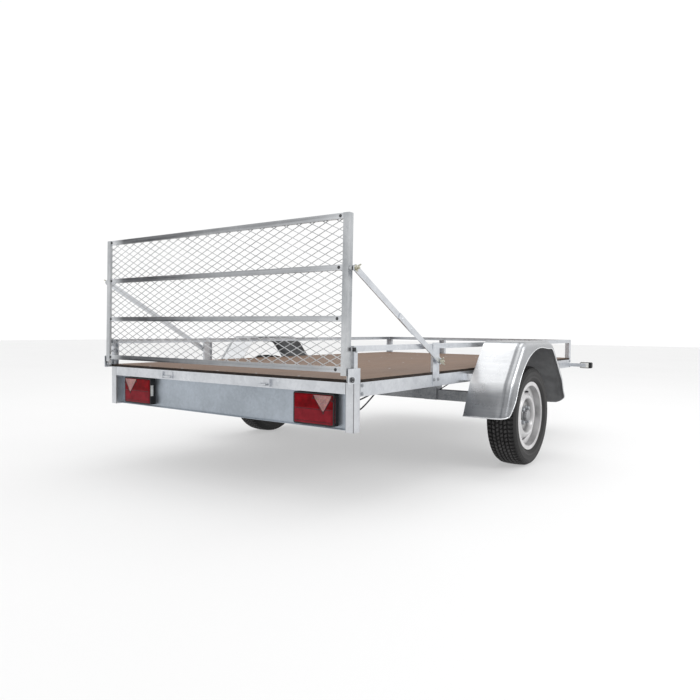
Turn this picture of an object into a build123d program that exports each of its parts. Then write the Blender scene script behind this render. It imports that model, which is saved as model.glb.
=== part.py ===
from build123d import *
from math import ceil, hypot, radians, tan
import os

os.makedirs("parts", exist_ok=True)

# Frame: x to the right, y forward to the coupling, z up from the ground, in millimetres.
# Lengths along y are worked out from the rear face of the rear posts, then moved by REAR_Y.

# Bed frame
HALF_W = 785.6
BED_L = 2736.0
MEMBER_H = 56.0
MEMBER_W = 40.0
MEMBER_BOTTOM = 460.0
MEMBER_TOP = MEMBER_BOTTOM + MEMBER_H
SHEET = 3.0
FLOOR_T = 12.0
FLOOR_TOP = MEMBER_TOP + FLOOR_T
INNER_X = HALF_W - MEMBER_W
CROSS_W = 50.0
CROSS_Y = (700.0, 1240.0, 1760.0, 2260.0)
REAR_CROSS_H = 45.0
REAR_CROSS_BOTTOM = MEMBER_TOP - REAR_CROSS_H

# Rear posts and lamp board
POST_D = 44.0
POST_DROP = 138.0
POST_BOTTOM = MEMBER_BOTTOM - POST_DROP
POST_ROUND = 3.0
BOARD_T = 2.0
BOARD_BOTTOM = POST_BOTTOM + 2.0
BOARD_LIP = 12.0
LAMP_INSET = 101.6
LAMP_W = 212.0
LAMP_X = (HALF_W - LAMP_INSET - LAMP_W, HALF_W - LAMP_INSET)
LAMP_H = 132.0
LAMP_TOP = REAR_CROSS_BOTTOM - 5.0
LAMP_Y = 5.0
LENS_T = 12.0
LENS_RIM = 6.0
LENS_BEVEL = 4.0
LAMP_ROUND = 9.0
HOOK_X = 355.0
HOOK_W = 67.0
HOOK_H = 32.0
HOOK_T = 3.0
HOOK_STAND = 15.0
HOOK_R = 4.0
HOOK_SPAN = 42.0

# Rails and their posts
RAIL_RISE = 132.0
RAIL_TOP = FLOOR_TOP + RAIL_RISE
RAIL_H = 23.0
RAIL_D = 28.0
RAIL_T = 2.5
RAIL_BOTTOM = RAIL_TOP - RAIL_H
UPPER_POST_D = 24.0
MID_POST_Y = 659.0
MID_POST_W = 62.0
MID_POST_DROP = 53.0
MID_POST_RISE = 5.0
MID_FLANGE = 9.0
CORNER_D = 40.0
FRONT_POST_X = 255.0
FRONT_POST_W = 46.0

# Tailgate
PIVOT_Y = -20.0
PIVOT_Z = FLOOR_TOP + 2.0
PIN_R = 6.0
PIN_PLAY = 0.05
GATE_LEAN = -0.965
GATE_REAR = PIVOT_Y - 18.6
GATE_TOP = 1168.6
GATE_FOOT = PIVOT_Z + 15.0
GATE_GAP = 8.6
GATE_FLANGE = 28.0
GATE_X = (HALF_W - GATE_GAP - GATE_FLANGE, HALF_W - GATE_GAP)
GATE_SIDE_D = 27.6
GATE_RAIL_H = 22.0
GATE_RAIL_D = 15.0
GATE_RAILS = 4
GATE_RAIL_LOW = PIVOT_Z + 26.2
MESH_T = 2.0
MESH_LONG = 68.3
MESH_SHORT = 31.0
STRAND = 2.8
MESH_EDGE = 3.0
MESH_SCRAP = 40.0
BRACKET_T = 5.0
BRACKET_Y = (PIVOT_Y - 20.0, 36.0)
BRACKET_Z = (FLOOR_TOP - 14.0, FLOOR_TOP + 45.0)
BRACKET_ROUND = 2.0
PIN_HEAD_R = 10.0
PIN_HEAD = 5.0
CATCH_T = 6.0
CATCH_Y = (-12.0, 6.0)
CATCH_H = 16.0
CATCH_DROP = 6.0

# Stays
STAY_Z = FLOOR_TOP + 50.0
STAY_Y = MID_POST_Y + 13.0
STAY_TOP_Y = -13.0
STAY_TOP_Z = 957.0
STAY_W = 28.0
STAY_T = 4.0
STAY_CLEAR = 10.4
STAY_X = HALF_W + STAY_CLEAR
STAY_PIN_R = 5.0
STAY_GAP = 5.0
LOWER_SHARE = 0.54
UPPER_SHARE = 0.36

# Running gear
WHEEL_Y = 1347.0
WHEEL_R = 268.0
WHEEL_OUT = 142.4
WHEEL_X = HALF_W + WHEEL_OUT
TREAD_HALF = 62.0
TYRE_HALF = 80.0
BEAD_R = 165.1
RIM_R = 182.5
RIM_HALF = 67.0
RIM_T = 4.0
WELL_R = 146.0
HUB_FACE = 30.0
DISC_T = 5.0
DISH_R = 78.0
RIDGE_R = 102.0
RIDGE_H = 24.0
BORE_R = 30.0
VENTS = 8
VENT_R = 127.0
VENT_W = 15.0
VENT_L = 44.0
BOLTS = 4
BOLT_RING_R = 50.0
BOLT_R = 8.0
BOLT_H = 14.0
CAP_H = 26.0
AXLE_FORWARD = 133.0
AXLE_Y = WHEEL_Y + AXLE_FORWARD
AXLE_Z = WHEEL_R + 62.0
AXLE_SIDE = 60.0
HALF_SIDE = AXLE_SIDE / 2
ARM_T = 25.0
ARM_X = (HALF_W - 20.6, HALF_W - 20.6 + ARM_T)
ARM_END_R = HALF_SIDE - 1.0
SPINDLE_R = 20.0
HUB_R = 62.0
HUB_D = 90.0
HUB_PLAY = 8.0

# Mudguards
FENDER_IN = 39.4
FENDER_W = 225.0
FENDER_X = (HALF_W + FENDER_IN, HALF_W + FENDER_IN + FENDER_W)
FENDER_T = 3.0
FENDER_TOP = WHEEL_R + 400.0
FENDER_BEND = (397.0, WHEEL_R + 194.0)
FENDER_FOOT = (473.0, WHEEL_R + 30.0)
FENDER_FLAT = 231.0
FRONT_BEND = (376.0, WHEEL_R + 194.0)
FRONT_FOOT = (455.0, WHEEL_R + 30.0)
FRONT_FLAT = 178.0
FRONT_SKIN = 25.0
FENDER_ROUND = 70.0
FENDER_ARCH_R = WHEEL_R + 100.0
FENDER_EDGE = 20.0
FENDER_CORNER = 55.0
STRAP_W = 40.0
STRAP_T = 5.0
STRAP_UP = 35.0
STRAP_REACH = 60.0

# Drawbar
BALL_Y = 3985.0
DRAWBAR_H = 60.0
DRAWBAR_Z = (MEMBER_BOTTOM - DRAWBAR_H, MEMBER_BOTTOM)
ARM_W = 40.0
ARM_REAR = (345.0, AXLE_Y - 80.0)
ARM_FRONT = (52.0, BALL_Y - 285.0)
NOSE_HALF = 30.0
NOSE_Y = (BALL_Y - 425.0, BALL_Y - 85.0)
GUSSET_T = 6.0
SADDLE_W = 84.0
SADDLE_T = 10.0
BALL_DROP = 30.0
BALL_Z = MEMBER_BOTTOM - BALL_DROP
BALL_R = 25.3
CUP_R = 38.0
CUP_DEPTH = 12.0
HEAD_HALF = 36.0
HEAD_BACK = 80.0
HANDLE_W = 22.0
HANDLE_T = 9.0

# Jockey wheel
JOCKEY_Y = BALL_Y - 585.0
JOCKEY_TUBE_R = 24.0
JOCKEY_TUBE_Z = (DRAWBAR_Z[0] - 60.0, DRAWBAR_Z[1] + 130.0)
JOCKEY_INNER_R = 20.0
JOCKEY_CAP = 10.0
JOCKEY_WHEEL_R = 100.0
JOCKEY_WHEEL_HALF = 25.0
JOCKEY_RIM_R = 70.0
JOCKEY_AXLE_R = 7.0
JOCKEY_TRAIL = 45.0
CARRIER_D = 70.0
FORK_HALF = 38.0
FORK_T = 6.0
FORK_TOP = 2 * JOCKEY_WHEEL_R + 22.0
CRANK_R = 8.0
CRANK_REACH = 84.0

# Front position lamps
SIDE_LAMP_X = (HALF_W + 74.4, HALF_W + 154.4)
SIDE_LAMP_D = 32.0
SIDE_LAMP_H = 42.0
SIDE_ARM_T = 4.0
SIDE_ARM_H = 24.0
SIDE_ARM_BACK = 24.0

# Lamp leads
LEAD_R = 3.0

# The origin is under the middle of the whole trailer, hinge brackets to coupling.
REAR_Y = -(BALL_Y + CUP_R + BRACKET_Y[0]) / 2


def block(x, y, z):
    """A box given by its (low, high) pair along each axis."""
    size = Box(x[1] - x[0], y[1] - y[0], z[1] - z[0])
    centre = Pos((x[0] + x[1]) / 2, (y[0] + y[1]) / 2, (z[0] + z[1]) / 2)
    return centre * size


def around(centre, size):
    """The (low, high) pair of a length about its middle."""
    return (centre - size / 2, centre + size / 2)


def rod_x(radius, x, y, z):
    """A round rod along x."""
    turned = Rot(0, 90, 0) * Cylinder(radius, x[1] - x[0])
    return Pos((x[0] + x[1]) / 2, y, z) * turned


def rod_z(radius, x, y, z):
    """A round rod along z."""
    return Pos(x, y, (z[0] + z[1]) / 2) * Cylinder(radius, z[1] - z[0])


def ring_x(points, x, y, z):
    """A ring round an axis along x, from (offset, radius) points."""
    section = make_face(Polyline(*points, close=True))
    return Pos(x, y, z) * revolve(section, Axis.X, 360)


def plan(points, z):
    """A plate of the given (x, y) outline between two heights."""
    face = make_face(Polyline(*points, close=True))
    return Pos(0, 0, z[0]) * extrude(face, z[1] - z[0])


def other(shape):
    """The same shape on the left side."""
    return mirror(shape, Plane.YZ)


def put(name, *shapes):
    """Writes one node in the shared frame."""
    solids = [solid for shape in shapes for solid in shape.solids()]
    whole = solids[0] if len(solids) == 1 else Compound(children=solids)
    export_step(Pos(0, REAR_Y, 0) * whole, f"parts/{name}.step")


# Side members: channels open towards the middle, between the rear posts and the front end.
member = block((INNER_X, HALF_W), (POST_D, BED_L), (MEMBER_BOTTOM, MEMBER_TOP))
member -= block(
    (INNER_X, HALF_W - SHEET),
    (POST_D, BED_L),
    (MEMBER_BOTTOM + SHEET, MEMBER_TOP - SHEET),
)
put("side_members", member, other(member))

# Cross members under the floor: channels open forwards, from side member to side member.
cross_members = []
for y in (*CROSS_Y, BED_L - CROSS_W):
    beam = block((-INNER_X, INNER_X), (y, y + CROSS_W), (MEMBER_BOTTOM, MEMBER_TOP))
    beam -= block(
        (-INNER_X, INNER_X),
        (y + SHEET, y + CROSS_W),
        (MEMBER_BOTTOM + SHEET, MEMBER_TOP - SHEET),
    )
    cross_members.append(beam)
put("cross_members", *cross_members)

rear_cross = block((-INNER_X, INNER_X), (0, POST_D), (REAR_CROSS_BOTTOM, MEMBER_TOP))
rear_cross -= block(
    (-INNER_X, INNER_X),
    (SHEET, POST_D),
    (REAR_CROSS_BOTTOM + SHEET, MEMBER_TOP - SHEET),
)
put("rear_cross_member", rear_cross)

put("floor", block((-HALF_W, HALF_W), (0, BED_L), (MEMBER_TOP, FLOOR_TOP)))

# Rear corner posts below the floor: tubes with rolled corners.
lower_post = block((INNER_X, HALF_W), (0, POST_D), (POST_BOTTOM, MEMBER_TOP))
lower_post = fillet(lower_post.edges().filter_by(Axis.Z), POST_ROUND)
lower_post -= block(
    (INNER_X + SHEET, HALF_W - SHEET),
    (SHEET, POST_D - SHEET),
    (POST_BOTTOM, MEMBER_TOP),
)
put("rear_lower_posts", lower_post, other(lower_post))

# The board that carries the lamps, with a folded lip along its bottom edge.
board_y = (POST_D - POST_ROUND - BOARD_T, POST_D - POST_ROUND)
board = block((-INNER_X, INNER_X), board_y, (BOARD_BOTTOM, REAR_CROSS_BOTTOM))
board += block(
    (-INNER_X, INNER_X),
    (board_y[0] - BOARD_LIP, board_y[1]),
    (BOARD_BOTTOM, BOARD_BOTTOM + BOARD_T),
)
put("lamp_board", board)

# Tail lamps: a dark housing with a bevelled lens let into its face.
lamp_z = (LAMP_TOP - LAMP_H, LAMP_TOP)
lens_x = (LAMP_X[0] + LENS_RIM, LAMP_X[1] - LENS_RIM)
lens_z = (lamp_z[0] + LENS_RIM, lamp_z[1] - LENS_RIM)
lens_room = block(lens_x, (LAMP_Y, LAMP_Y + LENS_T), lens_z)
lens_room = fillet(lens_room.edges().filter_by(Axis.Y), LAMP_ROUND - LENS_BEVEL)
lens = chamfer(lens_room.faces().sort_by(Axis.Y)[0].edges(), LENS_BEVEL)
housing = block(LAMP_X, (LAMP_Y + LENS_BEVEL, board_y[0]), lamp_z)
housing = fillet(housing.edges().filter_by(Axis.Y), LAMP_ROUND)
housing -= lens_room
put("tail_lamp_housings", housing, other(housing))
put("tail_lamp_lenses", lens, other(lens))

# Lashing hooks on the rear cross member: a plate with one folded edge and a bent bar.
hook_z = around((REAR_CROSS_BOTTOM + MEMBER_TOP) / 2, HOOK_H)
hook = block((HOOK_X - HOOK_W, HOOK_X), (-HOOK_T, 0), hook_z)
hook += block((HOOK_X - HOOK_T, HOOK_X), (-HOOK_STAND + HOOK_R, 0), hook_z)
bar_x = (HOOK_X - HOOK_W + 2 * HOOK_R, HOOK_X - HOOK_W + 2 * HOOK_R + HOOK_SPAN)
bar_z = hook_z[0] + 2 * HOOK_R
hook += rod_x(HOOK_R, bar_x, -HOOK_STAND, bar_z)
for x in bar_x:
    hook += Pos(x, -HOOK_STAND, bar_z) * Sphere(HOOK_R)
    hook += Pos(x, -HOOK_STAND / 2, bar_z) * Rot(90, 0, 0) * Cylinder(HOOK_R, HOOK_STAND)
put("lashing_hooks", hook, other(hook))

# Posts above the floor: channels open towards the bed.
upper_post = block((HALF_W - RAIL_D, HALF_W), (0, UPPER_POST_D), (FLOOR_TOP, RAIL_TOP))
upper_post -= block(
    (HALF_W - RAIL_D, HALF_W - RAIL_T),
    (RAIL_T, UPPER_POST_D - RAIL_T),
    (FLOOR_TOP, RAIL_TOP - RAIL_T),
)
put("rear_upper_posts", upper_post, other(upper_post))

mid_y = around(MID_POST_Y, MID_POST_W)
mid_web = block(
    (HALF_W, HALF_W + SHEET),
    mid_y,
    (MEMBER_TOP - MID_POST_DROP, RAIL_TOP + MID_POST_RISE),
)
mid_flanges = block((HALF_W - MID_FLANGE, HALF_W), mid_y, (FLOOR_TOP, RAIL_BOTTOM))
mid_flanges -= block(
    (HALF_W - MID_FLANGE, HALF_W),
    (mid_y[0] + SHEET, mid_y[1] - SHEET),
    (FLOOR_TOP, RAIL_BOTTOM),
)
spacer = rod_x(2 * STAY_PIN_R, (HALF_W + SHEET, STAY_X + STAY_T), STAY_Y, STAY_Z)
stay_pin_end = STAY_X + 3 * STAY_T
stay_pin = rod_x(STAY_PIN_R, (HALF_W + SHEET, stay_pin_end), STAY_Y, STAY_Z)
mid_post = mid_web + mid_flanges + spacer + stay_pin
put("mid_posts", mid_post, other(mid_post))

corner = block(
    (HALF_W - CORNER_D, HALF_W), (BED_L - CORNER_D, BED_L), (FLOOR_TOP, RAIL_BOTTOM)
)
corner -= block(
    (HALF_W - CORNER_D, HALF_W - SHEET),
    (BED_L - CORNER_D, BED_L - SHEET),
    (FLOOR_TOP, RAIL_BOTTOM),
)
front_post_x = around(FRONT_POST_X, FRONT_POST_W)
front_post = block(front_post_x, (BED_L - RAIL_D, BED_L), (FLOOR_TOP, RAIL_BOTTOM))
front_post -= block(
    (front_post_x[0] + SHEET, front_post_x[1] - SHEET),
    (BED_L - RAIL_D, BED_L - SHEET),
    (FLOOR_TOP, RAIL_BOTTOM),
)
put("front_posts", corner, front_post, other(front_post), other(corner))

# Rails: channels open towards the bed.
side_rail = block((HALF_W - RAIL_D, HALF_W), (UPPER_POST_D, BED_L), (RAIL_BOTTOM, RAIL_TOP))
side_rail -= block(
    (HALF_W - RAIL_D, HALF_W - RAIL_T),
    (UPPER_POST_D, BED_L - RAIL_T),
    (RAIL_BOTTOM + RAIL_T, RAIL_TOP - RAIL_T),
)
put("side_rails", side_rail, other(side_rail))
rail_end = HALF_W - RAIL_D
front_rail = block((-rail_end, rail_end), (BED_L - RAIL_D, BED_L), (RAIL_BOTTOM, RAIL_TOP))
front_rail -= block(
    (-rail_end, rail_end),
    (BED_L - RAIL_D, BED_L - RAIL_T),
    (RAIL_BOTTOM + RAIL_T, RAIL_TOP - RAIL_T),
)
put("front_rail", front_rail)

# Gate hinge brackets: a plate outside each post with the pivot pin and its head.
bracket = block((HALF_W, HALF_W + BRACKET_T), BRACKET_Y, BRACKET_Z)
bracket = fillet(bracket.edges().filter_by(Axis.X), BRACKET_ROUND)
pin_start = GATE_X[1] - 2 * SHEET
bracket += rod_x(PIN_R, (pin_start, HALF_W), PIVOT_Y, PIVOT_Z)
head_x = (HALF_W + BRACKET_T, HALF_W + BRACKET_T + PIN_HEAD)
bracket += rod_x(PIN_HEAD_R, head_x, PIVOT_Y, PIVOT_Z)
put("gate_brackets", bracket, other(bracket))

# Catches: small blocks on the rear upper posts that the gate's posts come up to.
catch_top = RAIL_TOP - CATCH_DROP
catch = block((HALF_W, HALF_W + CATCH_T), CATCH_Y, (catch_top - CATCH_H, catch_top))
catch = fillet(catch.faces().sort_by(Axis.X)[-1].edges(), CATCH_T / 3)
put("gate_catches", catch, other(catch))

# Tailgate, drawn upright and then leaned about its pivots.
lean = Pos(0, PIVOT_Y, PIVOT_Z) * Rot(GATE_LEAN, 0, 0) * Pos(0, -PIVOT_Y, -PIVOT_Z)
web_x = (GATE_X[1] - SHEET, GATE_X[1])
gate_post = block(GATE_X, (GATE_REAR, GATE_REAR + SHEET), (GATE_FOOT, GATE_TOP))
gate_post += block(web_x, (GATE_REAR, GATE_REAR + GATE_SIDE_D), (GATE_FOOT, GATE_TOP))
foot_r = 2 * PIN_R
foot = rod_x(foot_r, web_x, PIVOT_Y, PIVOT_Z)
foot += block(web_x, around(PIVOT_Y, 2 * foot_r), (PIVOT_Z, GATE_FOOT))
foot -= rod_x(PIN_R + PIN_PLAY, (GATE_X[0], HALF_W), PIVOT_Y, PIVOT_Z)
stud_y = STAY_TOP_Y - STAY_W / 2
stay_stud = rod_x(2 * STAY_PIN_R, (GATE_X[1], STAY_X - STAY_GAP), stud_y, STAY_TOP_Z)
gate_post = lean * (gate_post + foot + stay_stud)
put("gate_posts", gate_post, other(gate_post))

# Gate rails: channels behind the side angles, with the mesh on their front edges.
rail_y = (GATE_REAR + SHEET, GATE_REAR + SHEET + GATE_RAIL_D)
rail_x = (-web_x[0], web_x[0])
rail_pitch = (GATE_TOP - GATE_RAIL_H - GATE_RAIL_LOW) / (GATE_RAILS - 1)
gate_rails = []
for i in range(GATE_RAILS):
    low = GATE_RAIL_LOW + i * rail_pitch
    rail = block(rail_x, rail_y, (low, low + GATE_RAIL_H))
    rail -= block(
        rail_x,
        (rail_y[0] + RAIL_T, rail_y[1]),
        (low + RAIL_T, low + GATE_RAIL_H - RAIL_T),
    )
    gate_rails.append(lean * rail)
put("gate_rails", *gate_rails)

# Expanded mesh: a sheet with rows of diamond openings, cut off at its edges.
def trimmed(points, axis, limit, side):
    """The part of a polygon below (side 1) or above (side -1) a limit along x or z."""
    kept = []
    for a, b in zip(points, points[1:] + points[:1]):
        here = side * (limit - a[axis])
        there = side * (limit - b[axis])
        if here >= 0:
            kept.append(a)
        if here * there < 0:
            t = here / (here - there)
            kept.append((a[0] + t * (b[0] - a[0]), a[1] + t * (b[1] - a[1])))
    return kept


def area(points):
    """The area of a polygon."""
    pairs = zip(points, points[1:] + points[:1])
    return abs(sum(a[0] * b[1] - b[0] * a[1] for a, b in pairs)) / 2


mesh_half = web_x[0]
mesh_z = (GATE_RAIL_LOW, GATE_TOP)
half_long = MESH_LONG / 2
half_short = MESH_SHORT / 2
shrink = 1 - STRAND / 2 * hypot(half_long, half_short) / (half_long * half_short)
middle_z = (mesh_z[0] + mesh_z[1]) / 2
rows = ceil((mesh_z[1] - mesh_z[0]) / MESH_SHORT) + 1
columns = ceil(mesh_half / MESH_LONG) + 1
openings = []
for row in range(-rows, rows + 1):
    for column in range(-columns, columns + 1):
        x = column * MESH_LONG + half_long * (row % 2)
        z = middle_z + row * half_short
        shape = [
            (x - half_long * shrink, z),
            (x, z - half_short * shrink),
            (x + half_long * shrink, z),
            (x, z + half_short * shrink),
        ]
        shape = trimmed(shape, 0, mesh_half - MESH_EDGE, 1)
        shape = trimmed(shape, 0, MESH_EDGE - mesh_half, -1)
        shape = trimmed(shape, 1, mesh_z[1] - MESH_EDGE, 1)
        shape = trimmed(shape, 1, mesh_z[0] + MESH_EDGE, -1)
        if area(shape) > MESH_SCRAP:
            openings.append(Wire.make_polygon([Vector(a, 0, b) for a, b in shape]))
border = [
    Vector(-mesh_half, 0, mesh_z[0]),
    Vector(mesh_half, 0, mesh_z[0]),
    Vector(mesh_half, 0, mesh_z[1]),
    Vector(-mesh_half, 0, mesh_z[1]),
]
mesh_face = Face(Wire.make_polygon(border), openings)
mesh = Solid.extrude(mesh_face, Vector(0, MESH_T, 0))
put("gate_mesh", lean * Pos(0, rail_y[1], 0) * mesh)

# Stays: two lapped bars each, on the pin of the mid post.
stay_run = Vector(0, STAY_TOP_Y - STAY_Y, STAY_TOP_Z - STAY_Z)
stay_length = stay_run.length
stay_angle = stay_run.get_angle(Vector(0, -1, 0))
bar_half = (-STAY_W / 2, STAY_W / 2)
lower_bar = (STAY_T, 2 * STAY_T)
upper_bar = (0, STAY_T)
stay = block(lower_bar, (0, LOWER_SHARE * stay_length), bar_half)
stay += block(upper_bar, (UPPER_SHARE * stay_length, stay_length), bar_half)
stay += rod_x(STAY_W / 2, lower_bar, 0, 0)
stay += rod_x(STAY_W / 2, upper_bar, stay_length, 0)
stay -= rod_x(STAY_PIN_R + PIN_PLAY, lower_bar, 0, 0)
stay = Pos(STAY_X, STAY_Y, STAY_Z) * Rot(180 - stay_angle, 0, 0) * stay
put("stay_right", stay)
put("stay_left", other(stay))

# Tyres.
tyre_half = [
    (RIM_HALF - 7.0, BEAD_R),
    (RIM_HALF - 5.5, RIM_R),
    (TYRE_HALF - 8.0, RIM_R + 6.0),
    (TYRE_HALF, RIM_R + 31.5),
    (TYRE_HALF - 1.5, WHEEL_R - 32.0),
    (TYRE_HALF - 10.0, WHEEL_R - 10.0),
    (TREAD_HALF, WHEEL_R - 2.0),
    (0.4 * TREAD_HALF, WHEEL_R),
]
tyre_ring = tyre_half + [(-x, r) for x, r in reversed(tyre_half)]
tyre = ring_x(tyre_ring, WHEEL_X, WHEEL_Y, WHEEL_R)
put("tyre_right", tyre)
put("tyre_left", other(tyre))

# Rims: a barrel with a well, and a dished disc with a ridge, vents and bolt holes.
barrel = [
    (RIM_HALF, RIM_R),
    (RIM_HALF - 5.0, RIM_R),
    (RIM_HALF - 6.0, BEAD_R),
    (HUB_FACE, BEAD_R),
    (HUB_FACE - 12.0, WELL_R),
    (-HUB_FACE + 4.0, WELL_R),
    (-HUB_FACE - 6.0, BEAD_R),
    (6.0 - RIM_HALF, BEAD_R),
    (5.0 - RIM_HALF, RIM_R),
    (-RIM_HALF, RIM_R),
    (-RIM_HALF, BEAD_R - RIM_T),
    (-HUB_FACE - 8.0, BEAD_R - RIM_T),
    (-HUB_FACE + 2.0, WELL_R - RIM_T),
    (HUB_FACE - 10.0, WELL_R - RIM_T),
    (HUB_FACE + 2.0, BEAD_R - RIM_T),
    (RIM_HALF, BEAD_R - RIM_T),
]
disc_front = [
    (HUB_FACE, BORE_R),
    (HUB_FACE, DISH_R),
    (HUB_FACE + RIDGE_H - 4.0, RIDGE_R - 10.0),
    (HUB_FACE + RIDGE_H, RIDGE_R),
    (HUB_FACE + RIDGE_H - 6.0, RIDGE_R + 10.0),
    (HUB_FACE - 8.0, WELL_R - RIM_T),
]
disc = disc_front + [(x - DISC_T, r) for x, r in reversed(disc_front)]
rim = ring_x(barrel, WHEEL_X, WHEEL_Y, WHEEL_R) + ring_x(disc, WHEEL_X, WHEEL_Y, WHEEL_R)
vent_x = (WHEEL_X, WHEEL_X + RIM_HALF)
vent = block(vent_x, around(0, VENT_L - VENT_W), around(VENT_R, VENT_W))
for side in (-1, 1):
    vent += rod_x(VENT_W / 2, vent_x, side * (VENT_L - VENT_W) / 2, VENT_R)
for i in range(VENTS):
    rim -= Pos(0, WHEEL_Y, WHEEL_R) * Rot(i * 360 / VENTS, 0, 0) * vent
put("rim_right", rim)
put("rim_left", other(rim))

# Hubs: drum, wheel bolts and a pressed cap.
face_x = WHEEL_X + HUB_FACE
hub = rod_x(HUB_R, (face_x - HUB_D, face_x - DISC_T), WHEEL_Y, WHEEL_R)
hub += rod_x(BORE_R, (face_x - HUB_D, face_x + CAP_H), WHEEL_Y, WHEEL_R)
cap_edge = hub.faces().sort_by(Axis.X)[-1].edges()
hub = fillet(cap_edge, CAP_H / 3)
bolt = rod_x(BOLT_R, (face_x, face_x + BOLT_H), 0, BOLT_RING_R)
for i in range(BOLTS):
    hub += Pos(0, WHEEL_Y, WHEEL_R) * Rot((i + 0.5) * 360 / BOLTS, 0, 0) * bolt
hub -= rod_x(SPINDLE_R + PIN_PLAY, (face_x - HUB_D, face_x), WHEEL_Y, WHEEL_R)
put("hub_right", hub)
put("hub_left", other(hub))

# Axle: a square tube with a trailing arm and stub at each end.
beam_y = around(AXLE_Y, AXLE_SIDE)
beam_z = around(AXLE_Z, AXLE_SIDE)
put("axle_beam", block((-ARM_X[0], ARM_X[0]), beam_y, beam_z))
arm = rod_x(ARM_END_R, ARM_X, AXLE_Y, AXLE_Z) + rod_x(ARM_END_R, ARM_X, WHEEL_Y, WHEEL_R)
arm_run = Vector(0, WHEEL_Y - AXLE_Y, WHEEL_R - AXLE_Z)
arm_bar = block(ARM_X, (0, arm_run.length), (-ARM_END_R, ARM_END_R))
arm_turn = 180 + arm_run.get_angle(Vector(0, -1, 0))
arm += Pos(0, AXLE_Y, AXLE_Z) * Rot(arm_turn, 0, 0) * arm_bar
arm += rod_x(SPINDLE_R, (ARM_X[1], face_x - HUB_PLAY), WHEEL_Y, WHEEL_R)
put("swing_arms", arm, other(arm))

# Hangers from the side members, and saddles that tie the drawbar to the beam.
hanger = block((INNER_X, HALF_W), beam_y, (beam_z[1], MEMBER_BOTTOM))
hanger -= block(
    (INNER_X, HALF_W - 2 * SHEET),
    (beam_y[0] + 2 * SHEET, beam_y[1] - 2 * SHEET),
    (beam_z[1] + 2 * SHEET, MEMBER_BOTTOM),
)
arm_slope = (ARM_REAR[0] - ARM_FRONT[0]) / (ARM_FRONT[1] - ARM_REAR[1])
saddle_x = around(ARM_REAR[0] - arm_slope * (AXLE_Y - ARM_REAR[1]), SADDLE_W)
saddle = block(saddle_x, beam_y, (beam_z[1], DRAWBAR_Z[0]))
saddle += block(saddle_x, (beam_y[0] - SADDLE_T, beam_y[0]), (beam_z[0], DRAWBAR_Z[0]))
put("axle_hangers", hanger, saddle, other(saddle), other(hanger))

# Mudguards: an arch with a flat top. Its outer skin is cut round the wheel behind the wheel's
# middle, and stays a narrow strip along the arch ahead of it.
rear_rise = [FENDER_FOOT, FENDER_BEND, (FENDER_FLAT, FENDER_TOP)]
front_rise = [FRONT_FOOT, FRONT_BEND, (FRONT_FLAT, FENDER_TOP)]
outline = [(-y, z) for y, z in rear_rise] + [(y, z) for y, z in reversed(front_rise)]
fender_face = make_face(Polyline(*outline, close=True))
bends = fender_face.vertices().filter_by_position(Axis.Y, FENDER_FOOT[1] + 1.0, FENDER_TOP)
fender_face = fillet(bends, FENDER_ROUND)
to_side = Plane(origin=(0, WHEEL_Y, 0), x_dir=(0, 1, 0), z_dir=(1, 0, 0))


def fender_block(face, width):
    """A block of the arch with its outer upper edge bevelled."""
    solid = Pos(FENDER_X[0], 0, 0) * extrude(to_side * face, width)
    low = solid.bounding_box().min.Z
    rim_edges = solid.faces().sort_by(Axis.X)[-1].edges()
    upper = rim_edges.filter_by(lambda edge: edge.center().Z > low + 1.0)
    return chamfer(upper, FENDER_EDGE)


inner_face = offset(fender_face, -FENDER_T, kind=Kind.INTERSECTION)
fender = fender_block(fender_face, FENDER_W)
fender -= fender_block(inner_face, FENDER_W - FENDER_T)
fender -= block(
    FENDER_X,
    around(WHEEL_Y, 2 * FENDER_FOOT[0]),
    (FENDER_FOOT[1] - FENDER_T, FENDER_FOOT[1] + FENDER_T),
)
skin_x = (FENDER_X[1] - FENDER_EDGE, FENDER_X[1] + FENDER_T)
fender -= rod_x(FENDER_ARCH_R, skin_x, WHEEL_Y, WHEEL_R)
skin_drop = FENDER_TOP - WHEEL_R - FENDER_ARCH_R
front_room = extrude(to_side * Pos(-FRONT_SKIN, -skin_drop) * fender_face, skin_x[1] - skin_x[0])
front_y = (WHEEL_Y, WHEEL_Y + FENDER_FOOT[0])
fender -= Pos(skin_x[0], 0, 0) * front_room & block(skin_x, front_y, (0, FENDER_TOP))
feet = fender.edges().filter_by(Axis.X).filter_by_position(
    Axis.X, FENDER_X[1] - FENDER_T, FENDER_X[1]
)
feet = feet.filter_by(lambda edge: edge.center().Z < FENDER_FOOT[1] + 2 * FENDER_T)
feet = feet.filter_by(lambda edge: abs(edge.center().Y - WHEEL_Y) < FENDER_ARCH_R + FENDER_T)
fender = fillet(feet, FENDER_CORNER)
put("fender_right", fender)
put("fender_left", other(fender))

# Mudguard straps: short flat bars under the slopes, welded to the side member.
straps = []
for side, bend, flat in ((-1, FENDER_BEND, FENDER_FLAT), (1, FRONT_BEND, FRONT_FLAT)):
    slope_run = Vector(0, flat - bend[0], FENDER_TOP - bend[1])
    slope = slope_run.normalized()
    strap_at = Vector(0, *bend) + slope * STRAP_UP
    strap_at -= Vector(0, slope.Z, -slope.Y) * (FENDER_T + STRAP_T / 2)
    strap_turn = -side * slope_run.get_angle(Vector(0, -1, 0))
    strap_x = (HALF_W, FENDER_X[0] + STRAP_REACH)
    strap = block(strap_x, around(0, STRAP_W), around(0, STRAP_T))
    strap = Pos(0, WHEEL_Y + side * strap_at.Y, strap_at.Z) * Rot(strap_turn, 0, 0) * strap
    straps += [strap, other(strap)]
put("fender_straps", *straps)

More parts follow.
